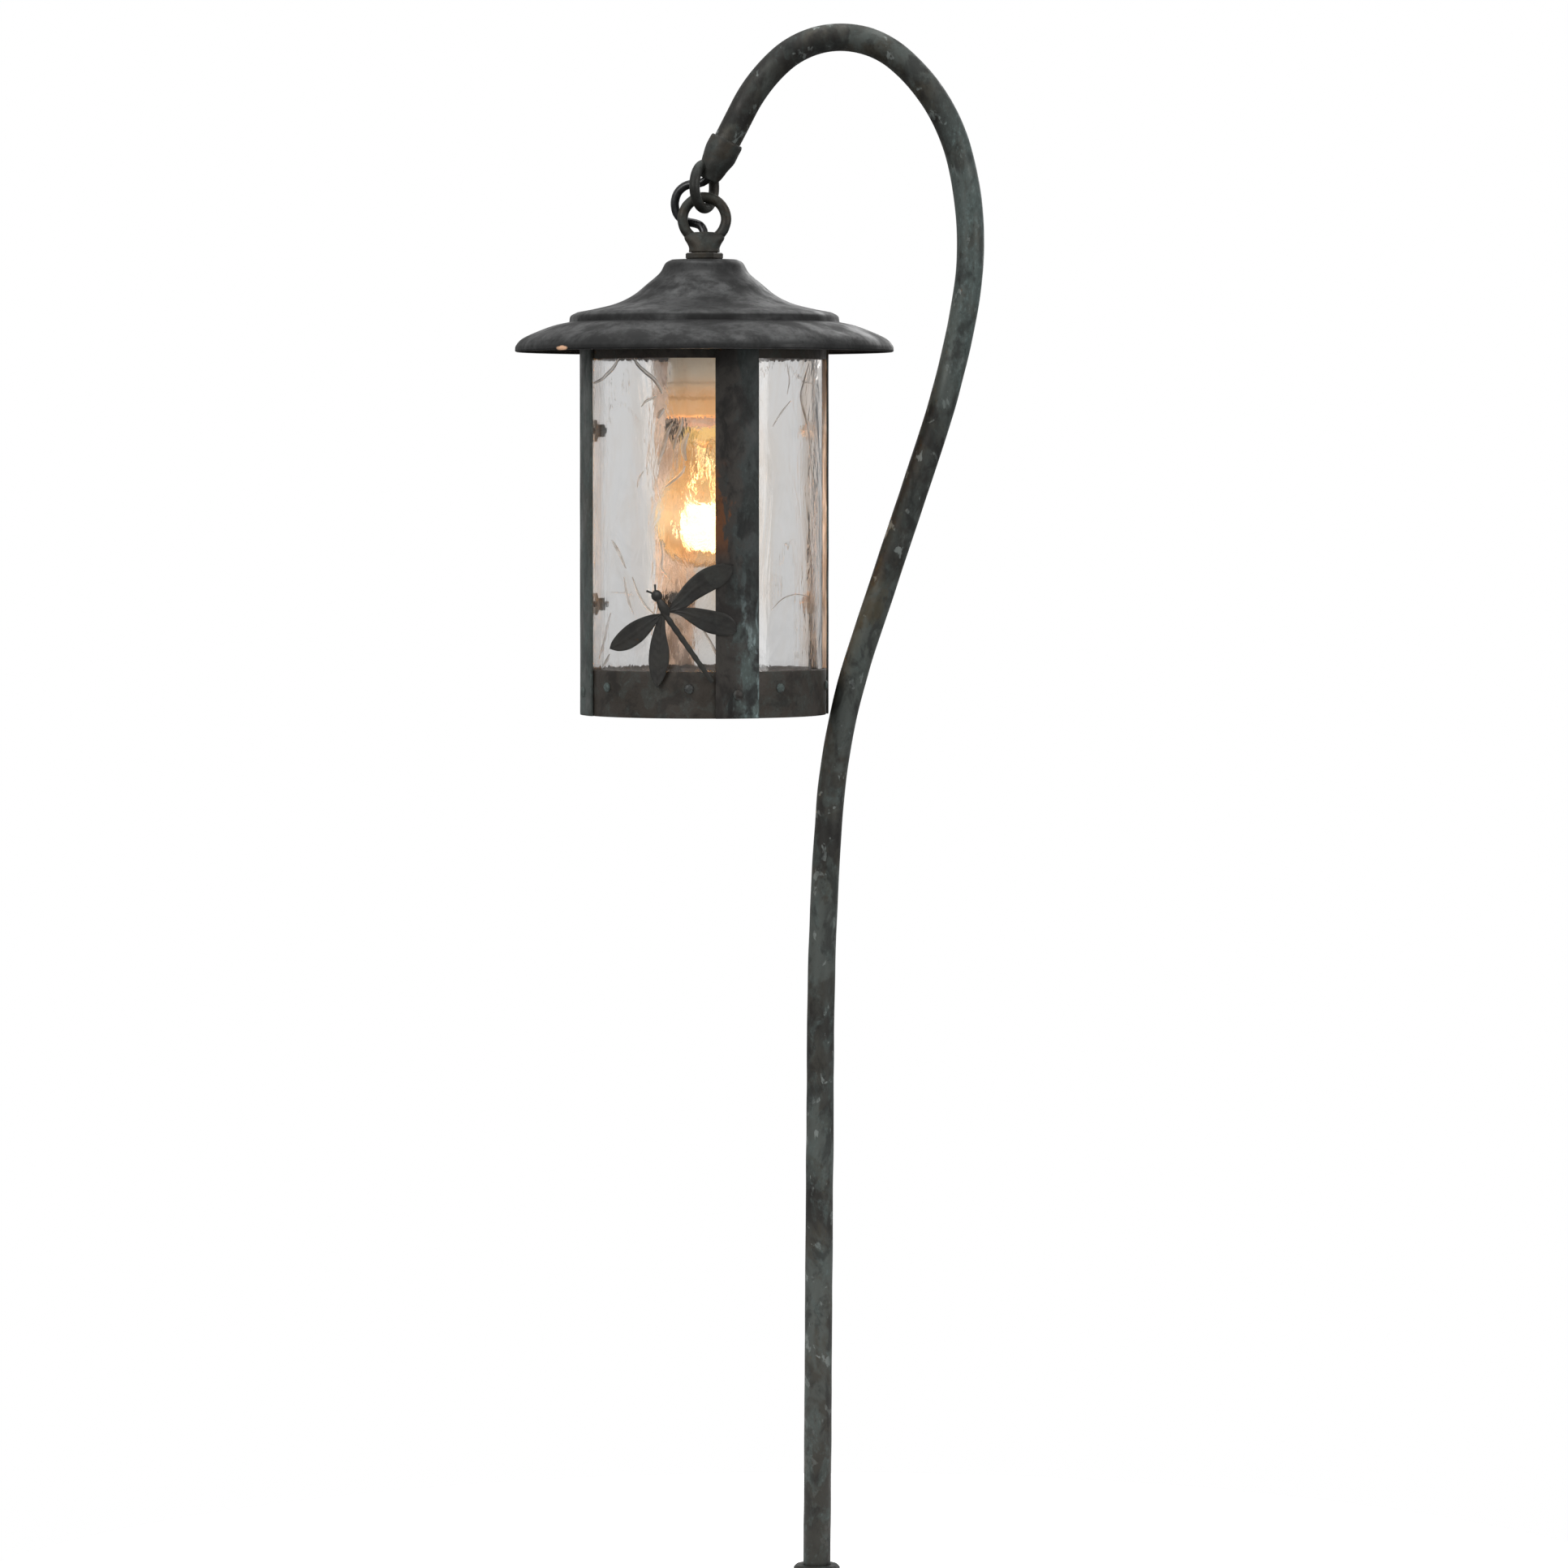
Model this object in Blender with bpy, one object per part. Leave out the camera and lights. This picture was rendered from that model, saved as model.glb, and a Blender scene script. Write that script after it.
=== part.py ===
"""Shepherd's crook path light: a hanging lantern on a bent tube post, modelled in metres with +Z up.

The origin is the centre of the base plate's underside. The crook lies in the plane y = 0, and the
lantern hangs from two interlocked cast loops. Angles round the lantern are counted from -Y towards +X.
"""
import math

import bmesh
import bpy
from mathutils import Matrix, Vector

MM = 0.001
GAP = 0.3

# Base, in millimetres like every size below
PLATE_R = 60.0
PLATE_H = 6.0
PLATE_HOLE_R = 3.4
PLATE_HOLE_CIRCLE_R = 45.0
PLATE_HOLE_ANGLES = (60, 180, 300)
HUB_R = 14.0
HUB_H = 23.7
HUB_Z = PLATE_H + GAP
SEAT_Z = 16.0
GROMMET_Z = 11.6

# Post: runs of (length, turn to the right in degrees) from the foot, which leans a little to the right
TUBE_R = 8.25
TUBE_BORE_R = 6.75
POST_FOOT_Z = SEAT_Z + GAP
POST_LEAN = 0.38
POST_RUNS = (
    (338.0, 0.0),
    (132.0, 3.8),
    (102.0, 14.2),
    (128.0, 0.0),
    (90.0, -9.0),
    (88.0, -25.0),
    (67.0, -34.0),
    (76.5, -81.5),
    (37.0, -21.7),
    (28.5, 0.0),
)
LEAD_R = 2.6
LEAD_BORE_R = 3.1

# Loops: two cast rings of the same section, one through the other
LANTERN_X = -67.6
LOOP_R = 13.0
LOOP_WIRE_R = 3.15
LANTERN_LOOP_Z = 841.8
LANTERN_BAR_Z = LANTERN_LOOP_Z + LOOP_R
CROOK_BAR_Z = LANTERN_BAR_Z - 2 * LOOP_WIRE_R - GAP
CROOK_LOOP_Z = CROOK_BAR_Z + LOOP_R
CROOK_LOOP_TURN = 64.0

# Free wire from the crook to the lantern: (sideways from the lantern's axis, depth, height)
JUMPER_ROUTE = (
    (5.3, 0.0, 871.5),
    (3.8, 0.0, 868.6),
    (1.9, 0.4, 865.9),
    (-1.0, 1.4, 863.9),
    (-4.7, 2.7, 863.1),
    (-8.7, 4.0, 862.7),
    (-12.5, 5.2, 861.2),
    (-15.7, 6.2, 858.2),
    (-17.4, 6.9, 854.2),
    (-17.7, 7.3, 849.9),
    (-16.6, 7.5, 845.4),
    (-13.6, 7.5, 841.9),
    (-9.6, 6.7, 840.2),
    (-5.7, 4.9, 839.4),
    (-2.3, 2.4, 837.9),
    (-0.5, 0.6, 835.0),
    (0.0, 0.0, 831.6),
    (0.0, 0.0, 829.0),
)
JUMPER_UPPER_LENGTH = 34.0

# Lantern heights and radii
NECK_Z = 821.9
NECK_SECTIONS = (  # half width, half depth, height
    (9.3, 9.3, NECK_Z),
    (9.2, 9.2, 824.4),
    (10.2, 8.8, 827.0),
    (11.6, 8.0, 829.4),
    (11.6, 7.2, 831.4),
    (9.4, 6.4, 833.2),
)
ROOF_TOP_Z = 817.5
ROOF_T = 1.2
ROOF_OUTLINE = (  # radius, drop below the top
    (5.3, 0.0),
    (19.6, 0.0),
    (23.4, 2.2),
    (26.8, 8.0),
    (34.2, 14.4),
    (42.6, 21.2),
    (52.8, 26.2),
    (65.0, 29.4),
    (76.2, 31.6),
    (80.2, 33.8),
    (81.0, 37.4),
    (90.6, 39.6),
    (100.8, 43.4),
    (109.2, 47.4),
    (113.0, 51.4),
    (113.6, 54.2),
)
STRAP_COUNT = 4
STRAP_ANGLE = 16.0
STRAP_W = 26.8
STRAP_OUT_R = 75.0
STRAP_T = 1.6
STRAP_TOP_Z = 782.6
BODY_FOOT_Z = 544.9
BAND_T = 1.5
BAND_OUT_R = STRAP_OUT_R - STRAP_T - GAP
BAND_IN_R = BAND_OUT_R - BAND_T
LOWER_BAND_TOP_Z = 572.5
UPPER_BAND_Z = 757.6
UPPER_BAND_TOP_Z = 783.6
FLANGE_IN_R = 60.0
PANE_OUT_R = BAND_IN_R - 0.6
PANE_T = 3.0
PANE_FOOT_Z = 568.0
PANE_TOP_Z = 779.0
PANE_EDGE_GAP = 2.8
CLIP_HEIGHTS = (715.0, 611.5)
CLIP_STUD_R = 1.9
TAB_COUNT = 8
TAB_RIVET_Z = 562.6
TAB_T = 1.4
FOOT_RIVET_Z = 559.0
RIVET_R = 1.6
RIVET_HOLE_R = 1.9
BRIDGE_T = 2.0
BRIDGE_W = 16.0
BRIDGE_Z = UPPER_BAND_TOP_Z - BAND_T - GAP - BRIDGE_T
BRIDGE_SCREW_R = 64.2
NIPPLE_R = 4.8
NIPPLE_HOLE_R = 5.1
NIPPLE_TOP_Z = 827.6
NIPPLE_FOOT_Z = 766.5

# Lampholder and bulb
SOCKET_TOP_Z = 775.0
SOCKET_FOOT_Z = 723.0
SOCKET_R = 22.4
CUP_R = 15.0
CUP_TOP_Z = 745.0
BULB_R = 29.6
BULB_Z = 662.6
BULB_SHELL_R = 13.0
BULB_SHELL_Z = 717.0
GLOBE_T = 1.0
FILAMENT_R = 8.5
FILAMENT_FOOT_Z = 650.0
FILAMENT_TOP_Z = 679.0

# Dragonfly: outlines in millimetres (right, up) from the joint between the thorax and the wings
DRAGONFLY_X = -21.9
DRAGONFLY_Z = 607.6
DRAGONFLY_T = 1.1
UPPER_RIGHT_WING = (
    (0.6, 0.6), (3.8, 6.6), (9.5, 14.6), (14.4, 20.1), (20.5, 24.9), (26.6, 27.6), (33.4, 29.0),
    (39.8, 28.4), (38.6, 22.2), (34.6, 17.2), (29.1, 13.7), (23.0, 10.4), (17.3, 7.0), (11.0, 2.6),
)
LOWER_RIGHT_WING = (
    (0.8, 0.4), (9.0, 2.7), (16.0, 3.0), (22.5, 2.2), (29.5, 0.9), (36.2, -1.2), (41.0, -5.6),
    (41.8, -11.2), (38.2, -13.4), (32.0, -13.3), (25.4, -12.1), (20.0, -9.6), (14.2, -5.8), (8.0, -1.6),
)
LOWER_LEFT_WING = (
    (-1.8, -0.4), (-9.4, -1.4), (-17.4, -4.3), (-23.5, -7.9), (-29.0, -13.0), (-32.6, -17.9),
    (-33.9, -22.0), (-28.4, -23.2), (-22.2, -22.1), (-17.2, -19.3), (-13.0, -15.9), (-9.2, -11.5),
    (-5.6, -6.4),
)
BOTTOM_WING = (
    (-3.4, -1.0), (-6.4, -8.1), (-8.8, -16.0), (-10.1, -24.0), (-10.2, -31.4), (-8.6, -38.8),
    (-5.4, -44.6), (-1.6, -39.2), (1.5, -31.3), (2.0, -22.7), (0.6, -15.4), (-0.4, -8.4), (-0.6, -2.0),
)
TAIL = ((-0.6, 2.4), (28.9, -40.0), (26.2, -41.9), (-3.8, 0.2))
ANTENNAE = (
    ((-7.3, 10.4), (-7.2, 16.6), (-5.7, 16.6), (-4.9, 10.4)),
    ((-6.2, 9.2), (-11.7, 12.0), (-11.4, 13.3), (-6.2, 12.2)),
)
THORAX = ((-1.6, 3.2), 6.4, 3.3, 49.0)
HEAD = ((-5.4, 9.8), 3.6, 3.2, 60.0)


def clear_scene():
    for item in list(bpy.data.objects):
        bpy.data.objects.remove(item, do_unlink=True)


def material(name, colour, roughness, metallic, transmission=0.0):
    made = bpy.data.materials.new(name)
    made.use_nodes = True
    shader = made.node_tree.nodes["Principled BSDF"]
    shader.inputs["Base Color"].default_value = (*colour, 1.0)
    shader.inputs["Roughness"].default_value = roughness
    shader.inputs["Metallic"].default_value = metallic
    shader.inputs["Transmission Weight"].default_value = transmission
    return made


clear_scene()
PATINA = material("patina", (0.060, 0.062, 0.055), 0.55, 0.75)
ROOF_METAL = material("roof_metal", (0.085, 0.088, 0.090), 0.45, 0.80)
STEEL = material("steel", (0.30, 0.29, 0.27), 0.35, 1.0)
BRASS = material("brass", (0.55, 0.40, 0.16), 0.35, 1.0)
GLASS = material("pane_glass", (0.90, 0.91, 0.89), 0.08, 0.0, 1.0)
BULB_GLASS = material("bulb_glass", (0.98, 0.93, 0.84), 0.03, 0.0, 1.0)
PORCELAIN = material("porcelain", (0.62, 0.55, 0.45), 0.35, 0.0)
RUBBER = material("rubber", (0.015, 0.015, 0.016), 0.55, 0.0)
FILAMENT = material("filament", (1.0, 0.62, 0.25), 0.40, 0.3)


def to_metres(point):
    return Vector(point) * MM


def finish_mesh(name, bm, made_of, sharp=35.0, origin=(0.0, 0.0, 0.0)):
    """Turn a bmesh in millimetres of the world into an object whose origin is at the given point."""
    bmesh.ops.recalc_face_normals(bm, faces=bm.faces)
    bmesh.ops.scale(bm, vec=(MM, MM, MM), verts=bm.verts)
    bmesh.ops.translate(bm, vec=-to_metres(origin), verts=bm.verts)
    mesh = bpy.data.meshes.new(name)
    bm.to_mesh(mesh)
    bm.free()
    mesh.shade_smooth()
    mesh.set_sharp_from_angle(angle=math.radians(sharp))
    thing = bpy.data.objects.new(name, mesh)
    thing.location = to_metres(origin)
    if made_of:
        mesh.materials.append(made_of)
    bpy.context.scene.collection.objects.link(thing)
    return thing


def bridge_rings(bm, rings, closed):
    """Join rings of equally many vertices, one after another, with quads."""
    pairs = list(zip(rings, rings[1:]))
    if closed:
        pairs.append((rings[-1], rings[0]))
    for one, two in pairs:
        for i in range(len(one)):
            j = (i + 1) % len(one)
            bm.faces.new((one[i], one[j], two[j], two[i]))


def profile_rings(bm, profile, frame, segments, hexed):
    """One ring of vertices round frame's Z axis for each (radius, height) point.

    Points whose index is in hexed lie on a hexagon, which needs segments to be a multiple of 12.
    """
    sixth = math.pi / 3
    rings = []
    for index, (radius, height) in enumerate(profile):
        ring = []
        for i in range(segments):
            angle = math.tau * i / segments
            off_corner = abs((angle + sixth / 2) % sixth - sixth / 2)
            flat = math.cos(sixth / 2) / math.cos(off_corner - sixth / 2)
            reach = radius * (flat if index in hexed else 1.0)
            spot = Vector((reach * math.cos(angle), reach * math.sin(angle), height))
            ring.append(bm.verts.new(frame @ spot))
        rings.append(ring)
    return rings


def lathe(bm, profile, frame=Matrix.Identity(4), segments=32, hexed=()):
    """Turn a closed outline that stays clear of the axis."""
    bridge_rings(bm, profile_rings(bm, profile, frame, segments, hexed), closed=True)


def capped_lathe(bm, profile, frame=Matrix.Identity(4), segments=32, hexed=()):
    """Turn an open outline that runs from the bottom face's edge to the top face's edge, and cap both."""
    rings = profile_rings(bm, profile, frame, segments, hexed)
    bridge_rings(bm, rings, closed=False)
    bm.faces.new(rings[0])
    bm.faces.new(rings[-1])


def torus(bm, centre, across, up, mean_r, wire_r, segments=24, sides=10):
    """A ring whose plane holds the unit vectors across and up."""
    normal = across.cross(up)
    rings = []
    for i in range(segments):
        turn = math.tau * i / segments
        outward = across * math.cos(turn) + up * math.sin(turn)
        ring = []
        for k in range(sides):
            round_wire = math.tau * k / sides
            reach = outward * (mean_r + wire_r * math.cos(round_wire))
            ring.append(bm.verts.new(centre + reach + normal * wire_r * math.sin(round_wire)))
        rings.append(ring)
    bridge_rings(bm, rings, closed=True)


def around(angle, radius, height=0.0):
    """The point at an angle round the lantern, counted from -Y towards +X."""
    turn = math.radians(angle)
    return Vector((LANTERN_X + radius * math.sin(turn), -radius * math.cos(turn), height))


def outward_frame(angle, radius, height):
    """A frame on the lantern whose Z axis points outward, and whose Y axis points up."""
    turn = math.radians(angle)
    out = Vector((math.sin(turn), -math.cos(turn), 0.0))
    up = Vector((0.0, 0.0, 1.0))
    side = up.cross(out)
    frame = Matrix((side, up, out)).transposed().to_4x4()
    frame.translation = around(angle, radius, height)
    return frame


def arc_plate(bm, inner_r, outer_r, low, high, middle, span, segments):
    """A sector of a tube round the lantern's axis."""
    rings = []
    for i in range(segments + 1):
        angle = middle - span / 2 + span * i / segments
        corners = ((inner_r, low), (outer_r, low), (outer_r, high), (inner_r, high))
        rings.append([bm.verts.new(around(angle, radius, height)) for radius, height in corners])
    bridge_rings(bm, rings, closed=False)
    bm.faces.new(rings[0])
    bm.faces.new(rings[-1])


def cutter(name, bm, origin=(0.0, 0.0, 0.0)):
    guide = finish_mesh(name, bm, None, origin=origin)
    guide.hide_render = True
    guide.display_type = "WIRE"
    return guide


def boolean(target, tool, operation):
    step = target.modifiers.new(tool.name, "BOOLEAN")
    step.operation = operation
    step.solver = "EXACT"
    step.object = tool


def at_lantern(height=0.0):
    return Matrix.Translation((LANTERN_X, 0.0, height))


def turned(name, profile, made_of, frame=None, segments=32, hexed=(), origin=None):
    """A turned ring: its outline is closed and stays clear of the axis."""
    place = at_lantern() if frame is None else frame
    bm = bmesh.new()
    lathe(bm, profile, place, segments, hexed)
    return finish_mesh(name, bm, made_of, origin=origin or place.translation)


def turned_solid(name, profile, made_of, frame=None, segments=24, hexed=(), origin=None):
    """A turned solid: its outline runs from the bottom face to the top face."""
    place = at_lantern() if frame is None else frame
    bm = bmesh.new()
    capped_lathe(bm, profile, place, segments, hexed)
    return finish_mesh(name, bm, made_of, origin=origin or place.translation)


def between(a, b, c, d, t):
    """A point from b (t = 0) to c (t = 1) on the smooth curve through four points."""
    return 0.5 * (2 * b + (c - a) * t + (2 * a - 5 * b + 4 * c - d) * t**2
                  + (3 * b - a - 3 * c + d) * t**3)


def smooth_line(points, spacing):
    """Points a given distance apart on a smooth curve through the given ones."""
    knots = [Vector(p) for p in points]
    knots = [2 * knots[0] - knots[1], *knots, 2 * knots[-1] - knots[-2]]
    dense = []
    for a, b, c, d in zip(knots, knots[1:], knots[2:], knots[3:]):
        dense += [between(a, b, c, d, i / 20) for i in range(20)]
    dense.append(knots[-2])
    length = sum((q - p).length for p, q in zip(dense, dense[1:]))
    count = max(2, round(length / spacing))
    line = [dense[0]]
    travelled = 0.0
    for p, q in zip(dense, dense[1:]):
        travelled += (q - p).length
        if travelled >= length * len(line) / count - 1e-6:
            line.append(q)
    return line[:-1] + [dense[-1]]


def wire(name, points, radius, made_of, sides=2):
    """A round wire along points in millimetres: a bevelled curve with closed ends."""
    curve = bpy.data.curves.new(name, "CURVE")
    curve.dimensions = "3D"
    spline = curve.splines.new("POLY")
    spline.points.add(len(points) - 1)
    for knot, point in zip(spline.points, points):
        knot.co = (*to_metres(point), 1.0)
    curve.bevel_depth = radius * MM
    curve.bevel_resolution = sides
    curve.use_fill_caps = True
    curve.materials.append(made_of)
    thing = bpy.data.objects.new(name, curve)
    bpy.context.scene.collection.objects.link(thing)
    return thing


# Post

def post_path(step_degrees=9.5, longest=140.0):
    """Centre points of the post with their headings from upright, worked out run by run."""
    x, z = 0.0, POST_FOOT_Z
    heading = math.radians(POST_LEAN)
    path = [(x, z, heading)]
    for length, turn in POST_RUNS:
        count = max(1, math.ceil(abs(turn) / step_degrees), math.ceil(length / longest))
        for _ in range(count):
            middle = heading + math.radians(turn) / count / 2
            x += length / count * math.sin(middle)
            z += length / count * math.cos(middle)
            heading += math.radians(turn) / count
            path.append((x, z, heading))
    return path


POST = post_path()
POST_END = Vector((POST[-1][0], 0.0, POST[-1][1]))
CROOK_LOOP_CENTRE = Vector((LANTERN_X, 0.0, CROOK_LOOP_Z))
END_AXIS = (CROOK_LOOP_CENTRE - POST_END).normalized()
END_TO_LOOP = (CROOK_LOOP_CENTRE - POST_END).length


def build_base():
    edge = 1.5
    plate_outline = (
        (PLATE_R - edge, 0.0), (PLATE_R, edge), (PLATE_R, PLATE_H - 2 * edge), (PLATE_R - 2 * edge, PLATE_H),
    )
    plate = turned_solid("base_plate", plate_outline, PATINA, Matrix.Identity(4), segments=32)
    holes = bmesh.new()
    for angle in PLATE_HOLE_ANGLES:
        turn = math.radians(angle)
        spot = (PLATE_HOLE_CIRCLE_R * math.cos(turn), PLATE_HOLE_CIRCLE_R * math.sin(turn), 0.0)
        through = ((PLATE_HOLE_R, -1.0), (PLATE_HOLE_R, PLATE_H + 1.0))
        capped_lathe(holes, through, Matrix.Translation(spot), 16)
    boolean(plate, cutter("plate_hole_cutter", holes), "DIFFERENCE")

    top = HUB_Z + HUB_H
    hub_outline = (
        (HUB_R, HUB_Z), (HUB_R, top - 1.5), (HUB_R - 1.5, top), (TUBE_R + GAP, top),
        (TUBE_R + GAP, SEAT_Z), (TUBE_BORE_R, SEAT_Z), (TUBE_BORE_R, HUB_Z),
    )
    hub = turned("base_hub", hub_outline, PATINA, Matrix.Identity(4), segments=24)
    side_holes = bmesh.new()
    to_back = Matrix.Rotation(math.radians(-90), 4, "X")
    to_back.translation = (0.0, TUBE_BORE_R - 2.0, GROMMET_Z)
    capped_lathe(side_holes, ((4.0, 0.0), (4.0, HUB_R)), to_back, 16)
    to_right = Matrix.Rotation(math.radians(90), 4, "Y")
    to_right.translation = (TUBE_R - 2.0, 0.0, SEAT_Z + 7.0)
    capped_lathe(side_holes, ((2.5, 0.0), (2.5, HUB_R)), to_right, 12)
    boolean(hub, cutter("hub_hole_cutter", side_holes), "DIFFERENCE")

    face = Matrix.Rotation(math.radians(-90), 4, "X")
    face.translation = (0.0, HUB_R + GAP, GROMMET_Z)
    grommet = (
        (3.7, -6.0), (3.7, 0.0), (5.6, 0.2), (5.6, 1.2), (4.4, 2.6), (3.0, 2.6), (3.0, -6.0),
    )
    turned("cable_grommet", grommet, RUBBER, face, segments=12)
    screw = Matrix.Rotation(math.radians(90), 4, "Y")
    screw.translation = (TUBE_R + 2 * GAP, 0.0, SEAT_Z + 7.0)
    reach = HUB_R - TUBE_R - 2 * GAP
    head = ((2.2, 0.0), (2.2, reach + GAP), (3.6, reach + GAP), (3.6, reach + 2.4), (2.8, reach + 3.0))
    turned_solid("hub_set_screw", head, STEEL, screw, segments=12, hexed=(2, 3, 4))


def build_post():
    sides = 16
    bm = bmesh.new()
    rings = {}
    for radius in (TUBE_R, TUBE_BORE_R):
        rings[radius] = []
        for x, z, heading in POST:
            side = Vector((math.cos(heading), 0.0, -math.sin(heading)))
            ring = []
            for k in range(sides):
                turn = math.tau * k / sides
                reach = side * math.cos(turn) + Vector((0.0, 1.0, 0.0)) * math.sin(turn)
                ring.append(bm.verts.new(Vector((x, 0.0, z)) + reach * radius))
            rings[radius].append(ring)
        bridge_rings(bm, rings[radius], closed=False)
    bridge_rings(bm, (rings[TUBE_R][0], rings[TUBE_BORE_R][0]), closed=False)
    bridge_rings(bm, (rings[TUBE_R][-1], rings[TUBE_BORE_R][-1]), closed=False)
    finish_mesh("crook_tube", bm, PATINA)

    line = [(0.0, 0.0, HUB_Z + 1.0)] + [(x, 0.0, z) for x, z, _ in POST[:-1]]
    line += [POST_END, POST_END + END_AXIS * (END_TO_LOOP - 12.1)]
    wire("supply_lead", line, LEAD_R, RUBBER, sides=1)


def end_frame():
    """A frame at the tube's end whose Z axis runs on along the tube."""
    side = Vector((0.0, 1.0, 0.0))
    third = side.cross(END_AXIS)
    frame = Matrix((third, side, END_AXIS)).transposed().to_4x4()
    frame.translation = POST_END
    return frame


def build_crook_eye():
    place = end_frame()
    outside = (
        (9.7, -7.0), (10.2, -6.2), (10.2, 0.5), (9.9, 4.0), (9.2, 8.0), (8.0, 12.0), (7.2, 15.5),
        (6.2, END_TO_LOOP - 4.6),
    )
    socket = bmesh.new()
    capped_lathe(socket, outside, place, 20)
    eye = finish_mesh("crook_eye", socket, PATINA, origin=CROOK_LOOP_CENTRE)
    turn = math.radians(CROOK_LOOP_TURN)
    ring = bmesh.new()
    across = Vector((math.cos(turn), math.sin(turn), 0.0))
    torus(ring, CROOK_LOOP_CENTRE, across, Vector((0.0, 0.0, 1.0)), LOOP_R, LOOP_WIRE_R)
    boolean(eye, cutter("crook_ring_guide", ring, CROOK_LOOP_CENTRE), "UNION")
    bore = bmesh.new()
    bore_outline = (
        (TUBE_R + GAP, -9.0), (TUBE_R + GAP, GAP), (LEAD_BORE_R, GAP), (LEAD_BORE_R, END_TO_LOOP - 9.5),
        (LEAD_BORE_R + 2.0, END_TO_LOOP - 3.0),
    )
    capped_lathe(bore, bore_outline, place, 24)
    boolean(eye, cutter("crook_bore_cutter", bore, CROOK_LOOP_CENTRE), "DIFFERENCE")
    screw_hole = bmesh.new()
    toward = place @ Matrix.Translation((0.0, 0.0, -3.4)) @ Matrix.Rotation(math.radians(-90), 4, "X")
    capped_lathe(screw_hole, ((2.0, TUBE_R - 1.0), (2.0, 14.0)), toward, 12)
    boolean(eye, cutter("eye_screw_cutter", screw_hole, CROOK_LOOP_CENTRE), "DIFFERENCE")
    reach = TUBE_R + 2 * GAP
    head = ((1.7, reach), (1.7, 10.6), (2.9, 10.6), (2.9, 11.9), (2.3, 12.4))
    turned_solid("crook_eye_screw", head, STEEL, toward, segments=12)


def split_line(line, length):
    """Cut a line of points at a length from its start, with a small gap between two square ends."""
    travelled = 0.0
    at = 0
    while travelled < length:
        travelled += (line[at + 1] - line[at]).length
        at += 1
    along = (line[at + 1] - line[at - 1]).normalized()
    upper = line[:at] + [line[at] - along * 2 * GAP, line[at] - along * GAP / 2]
    lower = [line[at] + along * GAP / 2, line[at] + along * 2 * GAP] + line[at + 1:]
    return upper, lower


def build_jumper():
    route = [(LANTERN_X + side, depth, height) for side, depth, height in JUMPER_ROUTE]
    upper, lower = split_line(smooth_line(route, 2.0), JUMPER_UPPER_LENGTH)
    wire("jumper_upper", upper, LEAD_R, RUBBER)
    wire("jumper_lower", lower, LEAD_R, RUBBER)


# Lantern top

def build_lantern_eye():
    centre = Vector((LANTERN_X, 0.0, LANTERN_LOOP_Z))
    bm = bmesh.new()
    turns = [math.tau * i / 20 for i in range(20)]
    sections = [
        [bm.verts.new((LANTERN_X + wide * math.cos(t), deep * math.sin(t), z)) for t in turns]
        for wide, deep, z in NECK_SECTIONS
    ]
    bridge_rings(bm, sections, closed=False)
    bm.faces.new(sections[0])
    bm.faces.new(sections[-1])
    eye = finish_mesh("lantern_eye", bm, PATINA, origin=(LANTERN_X, 0.0, LANTERN_BAR_Z))
    ring = bmesh.new()
    torus(ring, centre, Vector((1.0, 0.0, 0.0)), Vector((0.0, 0.0, 1.0)), LOOP_R, LOOP_WIRE_R)
    boolean(eye, cutter("lantern_ring_guide", ring, (LANTERN_X, 0.0, LANTERN_BAR_Z)), "UNION")
    bore = bmesh.new()
    steps = (
        (NIPPLE_HOLE_R, NECK_Z - 2.0), (NIPPLE_HOLE_R, NIPPLE_TOP_Z + GAP),
        (LEAD_BORE_R, NIPPLE_TOP_Z + GAP), (LEAD_BORE_R, 831.2), (LEAD_BORE_R + 2.4, 835.2),
    )
    capped_lathe(bore, steps, at_lantern(), 20)
    boolean(eye, cutter("neck_bore_cutter", bore, (LANTERN_X, 0.0, LANTERN_BAR_Z)), "DIFFERENCE")


def hex_nut(name, low, high, corner_r, made_of):
    edge = 0.6
    outline = (
        (corner_r - edge, low), (corner_r, low + edge), (corner_r, high - edge), (corner_r - edge, high),
        (NIPPLE_HOLE_R, high), (NIPPLE_HOLE_R, low),
    )
    return turned(name, outline, made_of, segments=12, hexed=(0, 1, 2, 3))


def offset_outline(outline, distance):
    """The outline moved inward, at right angles to itself."""
    moved = []
    for i, point in enumerate(outline):
        before = Vector(outline[max(i - 1, 0)])
        after = Vector(outline[min(i + 1, len(outline) - 1)])
        along = (after - before).normalized()
        moved.append((point[0] - along.y * distance, point[1] + along.x * distance))
    return moved


def build_top():
    hex_nut("eye_locknut", ROOF_TOP_Z + GAP, NECK_Z - GAP, 11.2, PATINA)
    inner = offset_outline(ROOF_OUTLINE, ROOF_T)
    inner[0] = (ROOF_OUTLINE[0][0], ROOF_T)
    outline = [(radius, ROOF_TOP_Z - drop) for radius, drop in (*ROOF_OUTLINE, *reversed(inner))]
    turned("roof", outline, ROOF_METAL, segments=32)
    under = ROOF_TOP_Z - ROOF_T - GAP
    hex_nut("roof_nut", under - 4.5, under, 9.4, STEEL)
    nipple = ((NIPPLE_R, NIPPLE_FOOT_Z), (NIPPLE_R, NIPPLE_TOP_Z), (3.3, NIPPLE_TOP_Z), (3.3, NIPPLE_FOOT_Z))
    turned("lamp_nipple", nipple, STEEL, segments=20)
    lead = [(LANTERN_X, 0.0, z) for z in (NIPPLE_FOOT_Z - 4.0, 790.0, 810.0, 828.7)]
    wire("socket_lead", lead, LEAD_R, RUBBER)


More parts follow.
